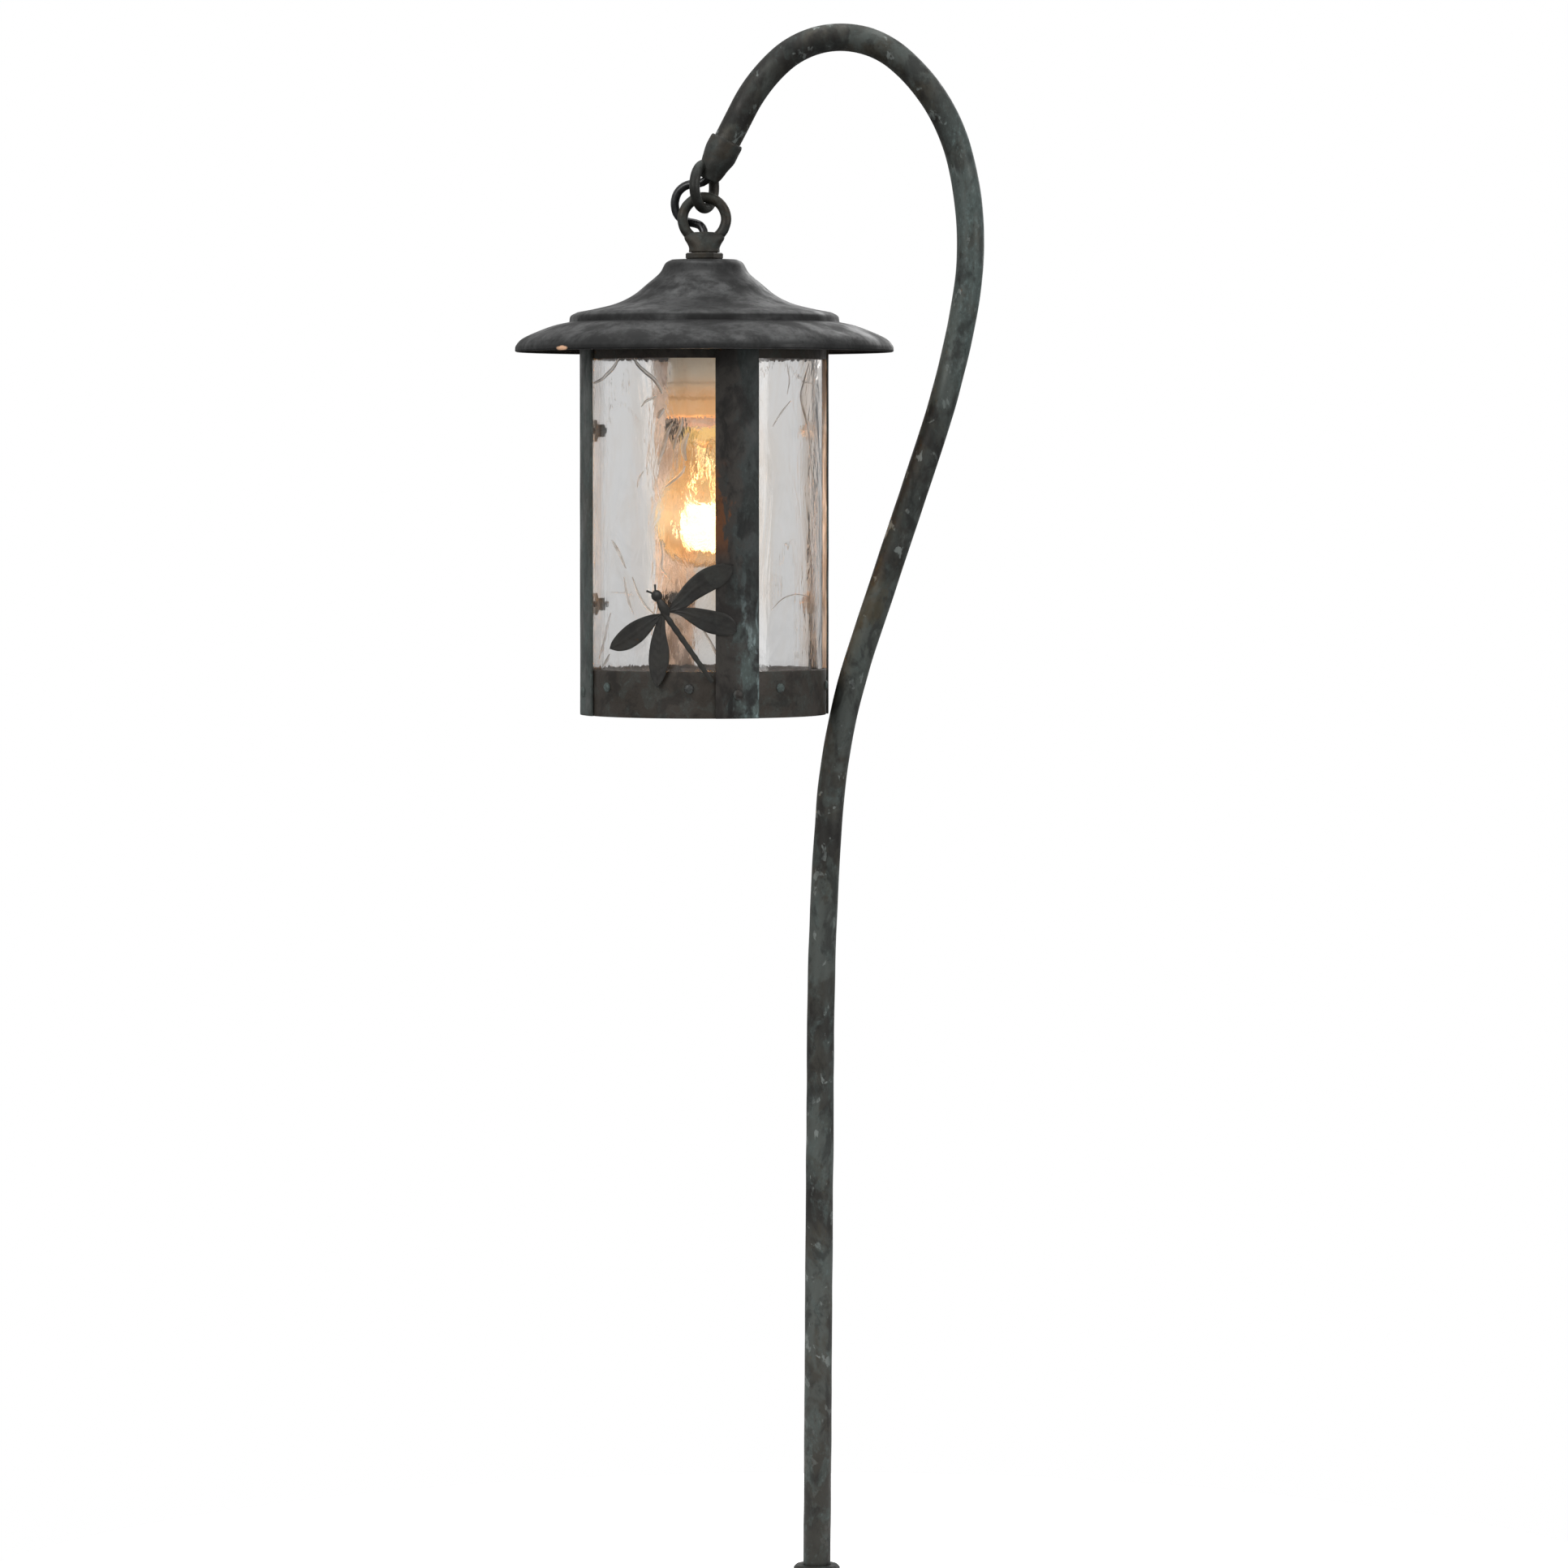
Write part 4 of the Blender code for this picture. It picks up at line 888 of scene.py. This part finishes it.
def build_top():
    top = 817.5
    crown = [Vector(p) for p in ROOF_OUTLINE[:2]]
    dome = smooth_chain(ROOF_OUTLINE[1:9], 6)[1:]
    ridge = smooth_chain(ROOF_OUTLINE[8:11], 4)[1:]
    brim = smooth_chain(ROOF_OUTLINE[10:], 5)[1:]
    outer = crown + dome + ridge + brim
    thickness = 1.2
    inner = []
    for i, point in enumerate(outer):
        along = heading_at(outer, i)
        inner.append(Vector((point.x - along.y * thickness, point.y + along.x * thickness)))
    lip = [Vector((113.4, 55.0)), Vector((112.6, 55.3)), Vector((111.9, 54.8))]
    profile = [(p.x, top - p.y) for p in outer + lip + list(reversed(inner[1:]))] + [(5.3, top - thickness)]
    turned("spun_roof", profile, ROOF, "lantern", "roof", segments=180, sharp=60.0)

    bm = bmesh.new()
    sections = smooth_chain(((8.9, 8.9, 821.9), (9.3, 9.3, 822.3), (9.2, 9.2, 824.4), (10.2, 8.8, 827.0),
                             (11.7, 8.0, 829.4), (12.0, 7.2, 831.2), (10.6, 6.6, 832.8), (5.4, 5.4, 833.9),
                             (3.2, 3.2, 832.0), (3.2, 3.2, 828.0)), 4)
    sections += [Vector((5.2, 5.2, 828.0)), Vector((5.2, 5.2, 821.9))]
    rings = [
        [
            bm.verts.new((AXIS_X + wide * math.cos(math.tau * i / 64), deep * math.sin(math.tau * i / 64), z))
            for i in range(64)
        ]
        for wide, deep, z in sections
    ]
    bridge(bm, rings, closed=True)
    torus(bm, LANTERN_LOOP, Vector((1.0, 0.0, 0.0)), UP, LOOP_R, LOOP_WIRE_R)
    rough_up(bm, 0.16, 0.22, 7.0)
    finish_piece("lantern_loop", bm, CAST_PATINA, "lantern", "lantern_eye")
    for name, node, low, high, corner, finish, slot in (
            ("loop_locknut", "eye_locknut", 817.8, 821.6, 11.2, CAST_PATINA, "patina"),
            ("under_roof_nut", "roof_nut", 811.5, 816.0, 9.4, STEEL, "steel"),
            ("bridge_lock_nut", "bridge_nut", 782.1, 785.8, 8.0, STEEL, "steel")):
        edge = 0.7
        shape = ((corner - edge, low), (corner, low + edge), (corner, high - edge), (corner - edge, high),
                 (5.1, high), (5.1, low))
        turned(name, shape, finish, "lantern", node, segments=72, hexed=(0, 1, 2, 3), sharp=25.0)


# ------------------------------------------------------------------ lantern cage

STRAP_R = 75.0
STRAP_T = 1.6
BAND_R = 73.1
BAND_T = 1.5
FOOT_Z = 544.9
BAND_TOP_Z = 572.5
RING_FOOT_Z = 757.6
RING_TOP_Z = 783.6
STRAP_W = 26.8
STRAP_TOP_Z = 782.6
RIVET_Z = 559.0
CLIP_HEIGHTS = (715.0, 611.5)
PANE_R = BAND_R - BAND_T - 0.6
PANE_FOOT_Z = 568.0
PANE_TOP_Z = 779.0
# Angles of the straps, in degrees from the front towards the post.
STRAPS = [16.0 + 90.0 * i for i in range(4)]


def dome_rivet(name, node, angle, radius, height, size, rise, stem, made_of):
    """A hammered rivet head and its stem through the plates."""
    where = outward(angle, radius, height)
    shape = [(1.5, -stem), (1.5, 0.1), (size, 0.1)]
    shape += [(size * math.cos(t), 0.25 + rise * math.sin(t)) for t in (0.2, 0.5, 0.8, 1.1, 1.35, 1.52)]
    bm = bmesh.new()
    lathe(bm, shape, where, 28, closed=False)
    rough_up(bm, 0.18, 0.5, angle)
    return finish_piece(name, bm, made_of, "lantern", node)


def build_cage():
    inner_r, flange_r, flange_low = BAND_R - BAND_T, 60.0, 782.1
    upper = ((inner_r, RING_FOOT_Z), (BAND_R, RING_FOOT_Z), (BAND_R, RING_TOP_Z), (flange_r, RING_TOP_Z),
             (flange_r, flange_low), (inner_r, flange_low))
    turned("top_ring", upper, BAND_PATINA, "lantern", "upper_ring", segments=144, corner=0.5)
    rows = [(BAND_R, FOOT_Z + (BAND_TOP_Z - FOOT_Z) * i / 8) for i in range(1, 8)]
    lower = ((inner_r, FOOT_Z), (BAND_R, FOOT_Z), *rows, (BAND_R, BAND_TOP_Z), (inner_r, BAND_TOP_Z))
    turned("foot_band", lower, BAND_PATINA, "lantern", "lower_band", segments=144, corner=0.45)

    span = math.degrees(STRAP_W / STRAP_R)
    finishes = {0: STRAP_FRONT, 3: STRAP_LEFT}
    for i, angle in enumerate(STRAPS):
        bm = bmesh.new()

        def wavy(w, z, side, seed=i * 7.0):
            return 0.16 * noise.noise(Vector((w * 0.09, seed, z * 0.03)))
        curved_plate(bm, STRAP_R - STRAP_T, STRAP_R, FOOT_Z, STRAP_TOP_Z, angle, span, 12, 60, 0.45, wavy)
        strap = finish_piece(f"side_strap_{i + 1}", bm, finishes.get(i, STRAP_OTHER), "lantern",
                             f"strap_{i + 1}")
        strap.data.materials.append(LAMPLIT)
        inward = around(angle + 180.0, 1.0) - around(angle, 1.0)
        for polygon in strap.data.polygons:
            if polygon.normal.dot(inward.normalized()) > 0.8:
                polygon.material_index = 1
        dome_rivet(f"foot_rivet_dome_{i + 1}", f"foot_rivet_{i + 1}", angle, STRAP_R, RIVET_Z, 3.2, 1.5, 5.2,
                   finishes.get(i, STRAP_OTHER))
    for node in [n for n in NODES if n.startswith("ledge_tab")]:
        soften(node, 0.3)
    soften("socket_bridge", 0.3)


def build_clips():
    """Washer, hex nut and stud at two heights behind every strap."""
    washer = PANE_R - 3.0 - 0.9 - STRAP_R + STRAP_T
    for i, angle in enumerate(STRAPS):
        for row, height in enumerate(CLIP_HEIGHTS):
            where = outward(angle, STRAP_R - STRAP_T, height)
            bm = bmesh.new()
            lathe(bm, ((1.9, washer - 7.0), (1.9, -0.3)), where, 24, closed=False)
            ring = ((1.9, washer - 1.3), (6.6, washer - 1.3), (6.6, washer), (1.9, washer))
            lathe(bm, rounded(ring, 0.3), where, 40)
            nut = ((1.9, washer - 5.6), (3.7, washer - 5.6), (4.3, washer - 5.1), (4.3, washer - 1.5),
                   (1.9, washer - 1.5))
            lathe(bm, nut, where, 48, hexed=(1, 2, 3))
            rough_up(bm, 0.12, 0.4, angle)
            number = f"{i + 1}_{row + 1}"
            # The clips behind the second strap carry the painted lamp light of the straps' inner sides; the
            # others are dark.
            finish = LAMPLIT if i == 1 else DARK_PATINA
            finish_piece(f"clip_{number}", bm, finish, "lantern", f"pane_clip_{number}", sharp=30.0)


def build_panes():
    span = 90.0 - 2 * math.degrees(2.8 / PANE_R)
    for i in range(4):
        angle = STRAPS[i] + 45.0
        bm = bmesh.new()

        def ripple(w, z, side, seed=i * 11.0):
            if side == "out":
                return 0.0
            bent = w * 0.055 + 1.5 * noise.noise(Vector((w * 0.02, seed, z * 0.008)))
            broad = noise.noise(Vector((bent, seed + 4.0, z * 0.011)))
            small = noise.noise(Vector((bent * 2.6, seed + 9.0, z * 0.03)))
            return 0.20 * broad + 0.035 * small
        curved_plate(bm, PANE_R - 2.7, PANE_R, PANE_FOOT_Z, PANE_TOP_Z, angle, span, 64, 90, 0.5, ripple)
        pane = finish_piece(f"rippled_pane_{i + 1}", bm, PANE, "lantern", f"glass_pane_{i + 1}",
                            sharp=60.0)
        pane.visible_shadow = False


# Threads rolled into the panes: side to side and height in the lantern's front view, and half thickness.
DRAW_LINES = {
    "left": (
        (0.85, ((-117.0, 757.4), (-118.9, 754.1), (-121.1, 751.1), (-124.3, 748.1), (-127.2, 745.4),
              (-132.1, 743.1))),
        (0.95, ((-107.9, 757.3), (-105.4, 753.3), (-101.1, 749.3), (-96.8, 745.6), (-93.7, 741.6),
              (-91.5, 736.7))),
        (0.55, ((-94.9, 735.5), (-98.0, 733.7), (-101.1, 732.2), (-103.6, 728.9))),
        (1.1, ((-90.3, 727.6), (-92.5, 725.2), (-94.0, 722.1))),
        (1.0, ((-85.7, 719.0), (-88.2, 714.2), (-89.7, 709.3), (-90.9, 704.4), (-92.8, 698.9),
              (-93.7, 694.6))),
        (0.8, ((-79.6, 722.7), (-80.5, 717.8), (-81.7, 714.2), (-83.3, 710.5), (-84.8, 703.8))),
        (1.2, ((-76.2, 713.5), (-78.4, 708.1), (-79.0, 703.2), (-77.5, 697.1))),
        (0.7, ((-78.1, 694.0), (-80.2, 689.8), (-85.1, 685.5), (-89.4, 681.8))),
        (0.5, ((-102.4, 691.0), (-105.2, 686.1), (-106.1, 681.2))),
        (0.8, ((-121.2, 650.0), (-118.6, 645.5), (-116.2, 641.0), (-112.9, 633.3))),
        (0.6, ((-113.9, 628.2), (-113.0, 621.7), (-112.0, 617.2), (-110.7, 612.1), (-108.4, 606.4))),
        (0.6, ((-109.0, 628.2), (-106.4, 620.5), (-103.8, 615.4), (-100.5, 610.3), (-96.0, 606.5))),
        (0.6, ((-121.9, 606.7), (-124.0, 598.9), (-125.7, 590.4), (-128.7, 579.2))),
        (0.6, ((-122.6, 582.1), (-126.4, 574.2))),
        (0.75, ((-68.3, 598.3), (-63.8, 590.6), (-60.6, 584.2), (-56.7, 576.5))),
        (0.5, ((-93.0, 649.6), (-91.4, 641.9), (-91.8, 633.5), (-86.9, 627.1))),
    ),
    "right": (
        (0.6, ((-6.4, 754.9), (-9.5, 742.6), (-10.7, 733.9), (-7.6, 720.4), (-5.8, 708.1),
              (-5.2, 694.6), (-2.9, 678.5))),
        (0.4, ((-16.9, 732.6), (-22.4, 725.2), (-27.3, 717.2))),
        (0.3, ((-28.0, 608.8), (-21.2, 615.4), (-13.8, 617.7), (-7.0, 616.3))),
        (0.35, ((-2.0, 678.5), (-1.4, 664.9), (-2.0, 650.1), (-1.4, 635.2))),
        (0.3, ((-18.8, 754.7), (-17.5, 744.9), (-18.8, 736.3))),
    ),
}


def on_pane(x, z, turn):
    """A point of the front view on the panes' inner face, turned about the lantern's axis."""
    radius = PANE_R - 2.75
    angle = math.radians(turn) + math.asin(max(-0.999, min(0.999, (x - AXIS_X) / radius))) - math.pi / 2
    return Vector((AXIS_X + radius * math.cos(angle), radius * math.sin(angle), z))


def build_draw_lines():
    """The threads in the two front panes, and fainter ones behind the axis."""
    for side, threads in DRAW_LINES.items():
        for turn, faint, behind in ((0.0, 1.0, ""), (180.0, 0.55, "_behind")):
            bm = bmesh.new()
            for thick, points in threads:
                chain = smooth_chain([on_pane(x, z, turn) for x, z in points], 5)
                last = len(chain) - 1
                radii = [max(0.05, 1.35 * faint * thick * math.sin(math.pi * (0.06 + 0.88 * i / last)) ** 0.6)
                         for i in range(last + 1)]
                tube(bm, chain, radii, 8)
            lines = finish_piece(f"draw_lines_{side}{behind}", bm, DRAW_LINE, "lantern", (),
                                 sharp=80.0)
            lines.visible_shadow = False


# ------------------------------------------------------------------ dragonfly

FLY = Vector((AXIS_X - 21.9, 607.6))
FLY_R = 75.3
WING_STEPS = 48
WINGS = {
    "upper_right": (
        (0.6, 0.6), (3.8, 6.6), (9.5, 14.6), (14.4, 20.1), (20.5, 24.9), (26.6, 27.6), (33.4, 29.0),
        (39.8, 28.4), (38.6, 22.2), (34.6, 17.2), (29.1, 13.7), (23.0, 10.4), (17.3, 7.0), (11.0, 2.6)),
    "lower_right": (
        (0.8, 0.4), (9.0, 2.7), (16.0, 3.0), (22.5, 2.2), (29.5, 0.9), (36.2, -1.2), (41.0, -5.6),
        (41.8, -11.2), (38.2, -13.4), (32.0, -13.3), (25.4, -12.1), (20.0, -9.6), (14.2, -5.8), (8.0, -1.6)),
    "lower_left": (
        (-1.8, -0.4), (-9.4, -1.4), (-17.4, -4.3), (-23.5, -7.9), (-29.0, -13.0), (-32.6, -17.9),
        (-33.9, -22.0), (-28.4, -23.2), (-22.2, -22.1), (-17.2, -19.3), (-13.0, -15.9), (-9.2, -11.5),
        (-5.6, -6.4)),
    "bottom": (
        (-3.4, -1.0), (-6.4, -8.1), (-8.8, -16.0), (-10.1, -24.0), (-10.2, -31.4), (-8.6, -38.8),
        (-5.4, -44.6), (-1.6, -39.2), (1.5, -31.3), (2.0, -22.7), (0.6, -15.4), (-0.4, -8.4), (-0.6, -2.0)),
}


def on_body(x, y, lift):
    """A point of the dragonfly's flat drawing, laid on the lantern's round side."""
    across = FLY.x - AXIS_X + x
    reach = FLY_R + lift
    return Vector((AXIS_X + across, -math.sqrt(reach * reach - across * across), FLY.y + y))


def resample(chain, count):
    lengths = [0.0]
    for p, q in zip(chain, chain[1:]):
        lengths.append(lengths[-1] + (q - p).length)
    result = []
    at = 0
    for i in range(count + 1):
        want = lengths[-1] * i / count
        while at < len(lengths) - 2 and lengths[at + 1] < want:
            at += 1
        part = (want - lengths[at]) / max(lengths[at + 1] - lengths[at], 1e-9)
        result.append(chain[at].lerp(chain[at + 1], min(max(part, 0.0), 1.0)))
    return result


def wing(bm, outline):
    """A thin leaf with a raised rim, a midrib and side veins."""
    count = len(outline)
    tip = max(range(count), key=lambda i: Vector(outline[i]).length)
    chains = []
    for way in (outline[:tip + 1], (outline[0], *reversed(outline[tip:]))):
        chains.append(resample(smooth_chain(way, 6), WING_STEPS))
    fronts, backs = [], []
    wide = 14
    for j, (a, b) in enumerate(zip(*chains)):
        u = j / WING_STEPS
        front, back = [], []
        for k in range(wide + 1):
            v = k / wide
            spot = a.lerp(b, v)
            middle = abs(v - 0.5) * 2
            rim = max(0.0, 1 - abs(middle - 0.93) / 0.12) * 0.30
            rib = max(0.0, 1 - middle / 0.16) * 0.34 * (1 - u * 0.5)
            veins = max(0.0, 1 - abs(((u * 9 + middle * 1.2) % 1.0) - 0.5) / 0.16) * 0.14 * (middle < 0.85)
            edge = 0.35 if k in (0, wide) else 0.0
            lift = 0.85 + rim + rib + veins - edge - 0.15 * (1 - middle)
            front.append(bm.verts.new(on_body(spot.x, spot.y, lift)))
            back.append(bm.verts.new(on_body(spot.x, spot.y, 0.0)))
        fronts.append(front)
        backs.append(back)
    join_sheets(bm, fronts, backs)


def body_bar(bm, points, radii, flat):
    """A rounded bar along points of the drawing, half sunk in the plate."""
    line = [Vector(p) for p in points]
    rings = []
    for i, point in enumerate(line):
        along = heading_at(line, i)
        side = Vector((-along.y, along.x))
        ring = []
        for k in range(16):
            turn = math.tau * k / 16
            offset = side * radii[i] * math.cos(turn)
            lift = 0.65 + radii[i] * flat * math.sin(turn)
            ring.append(bm.verts.new(on_body(point.x + offset.x, point.y + offset.y, max(lift, 0.05))))
        rings.append(ring)
    capped(bm, rings)


def build_dragonfly():
    bm = bmesh.new()
    for outline in WINGS.values():
        wing(bm, outline)
    start, end = Vector((-2.2, 1.3)), Vector((27.4, -40.9))
    steps = 60
    tail = [start.lerp(end, i / steps) for i in range(steps + 1)]
    beads = [1.75 - 0.35 * i / steps + 0.12 * math.sin(i * math.tau / 7.5) for i in range(steps + 1)]
    body_bar(bm, tail, beads, 0.4)
    slant = Vector((-0.5, 0.86))
    thorax = ((-6.4, 0.6), (-5.6, 1.5), (-4.0, 2.3), (-2.0, 2.8), (0.0, 3.0), (2.0, 2.7), (4.0, 2.2),
              (5.6, 1.6), (6.4, 1.0))
    head = ((-3.4, 0.7), (-2.8, 2.0), (-1.6, 3.0), (0.0, 3.4), (1.6, 3.0), (2.8, 2.0), (3.4, 0.7))
    for middle, shape, flat in ((Vector((-1.6, 3.2)), thorax, 0.4), (Vector((-5.4, 9.8)), head, 0.45)):
        body_bar(bm, [middle + slant * t for t, _ in shape], [radius for _, radius in shape], flat)
    for one, two in (((-6.2, 10.8), (-6.5, 16.6)), ((-6.2, 10.8), (-11.6, 12.7))):
        chain = [Vector(one).lerp(Vector(two), i / 6) for i in range(7)]
        body_bar(bm, chain, [0.75, 0.72, 0.68, 0.62, 0.58, 0.6, 0.72], 0.7)
    angle = math.degrees(math.asin((-21.9 - 4.6) / FLY_R))
    lathe(bm, ((1.8, -1.9), (1.8, 0.5)), outward(angle, FLY_R, 566.5), 20, closed=False)
    finish_piece("dragonfly_overlay", bm, DARK_PATINA, "lantern", "dragonfly", sharp=50.0)


# ------------------------------------------------------------------ lampholder and bulb

LAMP_Z = 660.0
BULB_R = 29.6
BULB_Z = 662.6
GLOBE_T = 1.0
SHELL_FOOT_Z = 724.5
SHELL_H = 18.5


def filament_coil():
    """A squirrel-cage filament: one wire wound into a close barrel, on two lead-in posts."""
    bm = bmesh.new()
    turns, steps = 12, 360
    line = []
    for i in range(steps + 1):
        t = i / steps
        reach = 15.2 * math.sin(math.pi * (0.10 + 0.72 * t ** 0.75)) ** 0.8
        angle = math.tau * turns * t
        line.append(Vector((AXIS_X + reach * math.cos(angle), reach * math.sin(angle), 643.0 + 28.0 * t)))
    tube(bm, line, [1.05] * len(line), 8)
    for side in (-1, 1):
        shape = ((9.0, 671.5), (8.0, 680.0), (4.0, 688.0), (2.6, 700.0))
        post = [Vector((AXIS_X + side * x, 0.0, z)) for x, z in shape]
        tube(bm, post, [0.6] * 4, 8)
    return finish_piece("filament_barrel", bm, FILAMENT, "bulb", "bulb_filament", sharp=80.0)


def build_lamp():
    body = ((15.4, 723.0), (21.6, 723.0), (23.0, 724.4), (23.0, 733.6), (21.2, 735.2), (21.2, 740.0),
            (21.9, 741.0), (21.9, 743.0), (21.2, 744.0), (21.2, 761.0), (18.4, 769.0), (13.0, 774.0),
            (11.0, 775.0), (5.1, 775.0), (5.1, 749.0), (15.0, 745.0))
    turned("lampholder", body, PORCELAIN, "lantern", "socket_body", corner=0.9)
    shell_top = SHELL_FOOT_Z + SHELL_H
    shell = [(14.7, SHELL_FOOT_Z)]
    shell += [(14.75 - 0.35 * math.cos(i * math.tau / 8), SHELL_FOOT_Z + SHELL_H * i / 40)
              for i in range(1, 40)]
    shell += [(14.7, shell_top), (14.2, shell_top), (14.2, SHELL_FOOT_Z)]
    turned("lampholder_shell", shell, BRASS, "lantern", "socket_shell", sharp=60.0)
    cap = [(12.4, 717.0)]
    for i in range(1, 73):
        cap.append((12.55 + 0.42 * math.cos(i * math.tau / 18), 717.5 + 17.5 * i / 72))
    cap += [(11.4, 736.2), (10.6, 737.0), (9.8, 737.0), (11.2, 734.6), (11.2, 717.0)]
    turned("bulb_screw_cap", cap, CAP_METAL, "bulb", "bulb_base", sharp=60.0)
    globe = [(11.4, 716.7), (11.9, 714.5), (13.2, 711.0), (14.8, 702.0), (17.2, 695.0), (20.6, 688.0),
             (24.0, 682.0)]
    start = math.asin(13.0 / BULB_R)
    for i in range(15):
        angle = start - (start + math.pi / 2) * i / 15
        globe.append((BULB_R * math.cos(angle), BULB_Z + BULB_R * math.sin(angle)))
    globe.append((0.4, 633.0))
    line = smooth_chain(globe, 3)
    inside = []
    for i, point in enumerate(line):
        along = heading_at(line, i)
        inside.append((max(point.x + along.y * GLOBE_T, 0.05), point.y - along.x * GLOBE_T))
    profile = [(max(p.x, 0.05), p.y) for p in line] + list(reversed(inside))
    globe = turned("bulb_globe_lit", profile, GLOBE, "bulb", "bulb_globe", sharp=80.0)
    globe.visible_shadow = False
    filament_coil().visible_shadow = False


# ------------------------------------------------------------------ CAD nodes that stay, with finishes

def dress_nodes():
    finishes = {
        "base_hub": BASE_PATINA, "hub_set_screw": STEEL, "crook_eye_screw": STEEL, "cable_grommet": SEAL,
        "supply_lead": RUBBER, "socket_lead": RUBBER, "lamp_nipple": STEEL, "socket_bridge": STEEL,
        "bridge_screw_left": STEEL, "bridge_screw_right": STEEL, "socket_contact": BRASS,
        "bulb_contact": BRASS, "bulb_stem": PANE, "bulb_filament": FILAMENT,
    }
    for name, node in NODES.items():
        if name.startswith("ledge_tab"):
            finishes[name] = RIVET_PATINA_AND_HIGHLIGHT
        if name in finishes:
            node.data.materials.clear()
            node.data.materials.append(finishes[name])


# ------------------------------------------------------------------ studio

def area_light(name, spot, target, size, power):
    data = bpy.data.lights.new(name, "AREA")
    data.shape = "RECTANGLE"
    data.size, data.size_y = size
    data.energy = power
    lamp = bpy.data.objects.new(name, data)
    lamp.location = spot
    lamp.rotation_euler = (Vector(target) - Vector(spot)).to_track_quat("-Z", "Y").to_euler()
    SCENE.collection.objects.link(lamp)


def build_studio():
    bm = bmesh.new()
    bmesh.ops.create_circle(bm, cap_ends=True, segments=128, radius=0.55)
    mesh = bpy.data.meshes.new("floor")
    bm.to_mesh(mesh)
    bm.free()
    made, tree, shader = new_material("pale_floor")
    soft = clouds(place(tree), 3.0, 3.0)
    feed(shader, "Base Color", mix(soft, (0.90, 0.90, 0.90), (0.92, 0.92, 0.92)))
    shader.inputs["Roughness"].default_value = 0.9
    shader.inputs["Emission Color"].default_value = (1.0, 1.0, 1.0, 1.0)
    shader.inputs["Emission Strength"].default_value = 0.55
    mesh.materials.append(made)
    floor = bpy.data.objects.new("floor", mesh)
    floor.location = (0.0, 0.0, -0.0005)
    SCENE.collection.objects.link(floor)

    area_light("key_left", (-1.7, -1.9, 1.9), (0.0, 0.0, 0.65), (1.4, 1.4), 30.0)
    area_light("fill_right", (2.0, -1.6, 1.2), (0.0, 0.0, 0.65), (1.2, 1.6), 15.0)
    area_light("top", (0.0, 0.1, 2.6), (0.0, 0.0, 0.7), (1.8, 1.8), 24.0)
    area_light("back", (0.9, 2.2, 1.5), (0.0, 0.0, 0.7), (1.4, 1.4), 14.0)

    data = bpy.data.lights.new("glow", "POINT")
    data.energy = 0.30
    data.color = (1.0, 0.50, 0.17)
    data.shadow_soft_size = 0.012
    lamp = bpy.data.objects.new("glow", data)
    lamp.location = Vector((AXIS_X, 0.0, LAMP_Z)) * MM
    lamp.visible_camera = False
    lamp.visible_transmission = False
    lamp.visible_glossy = False
    SCENE.collection.objects.link(lamp)
    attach(lamp, "bulb")

    world = bpy.data.worlds.new("studio")
    SCENE.world = world
    world.use_nodes = True
    tree = world.node_tree
    background = tree.nodes["Background"]
    path = tree.nodes.new("ShaderNodeLightPath")
    ramp = tree.nodes.new("ShaderNodeValToRGB")
    for element, (position, grey) in zip(ramp.color_ramp.elements, ((0.40, 0.16), (0.50, 0.62))):
        element.position = position
        element.color = (grey, grey, grey, 1.0)
    coords = tree.nodes.new("ShaderNodeTexCoord")
    height = axis_of(coords.outputs["Generated"], "Z")
    feed(ramp, "Fac", between(height, -1.0, 1.0, smooth=False))
    feed(background, "Color", mix(path.outputs["Is Camera Ray"], ramp.outputs["Color"], (1.0, 1.0, 1.0)))
    SCENE.view_settings.view_transform = "Standard"


build_post()
build_base()
build_top()
build_cage()
build_clips()
build_panes()
build_draw_lines()
build_dragonfly()
build_lamp()
dress_nodes()
build_studio()
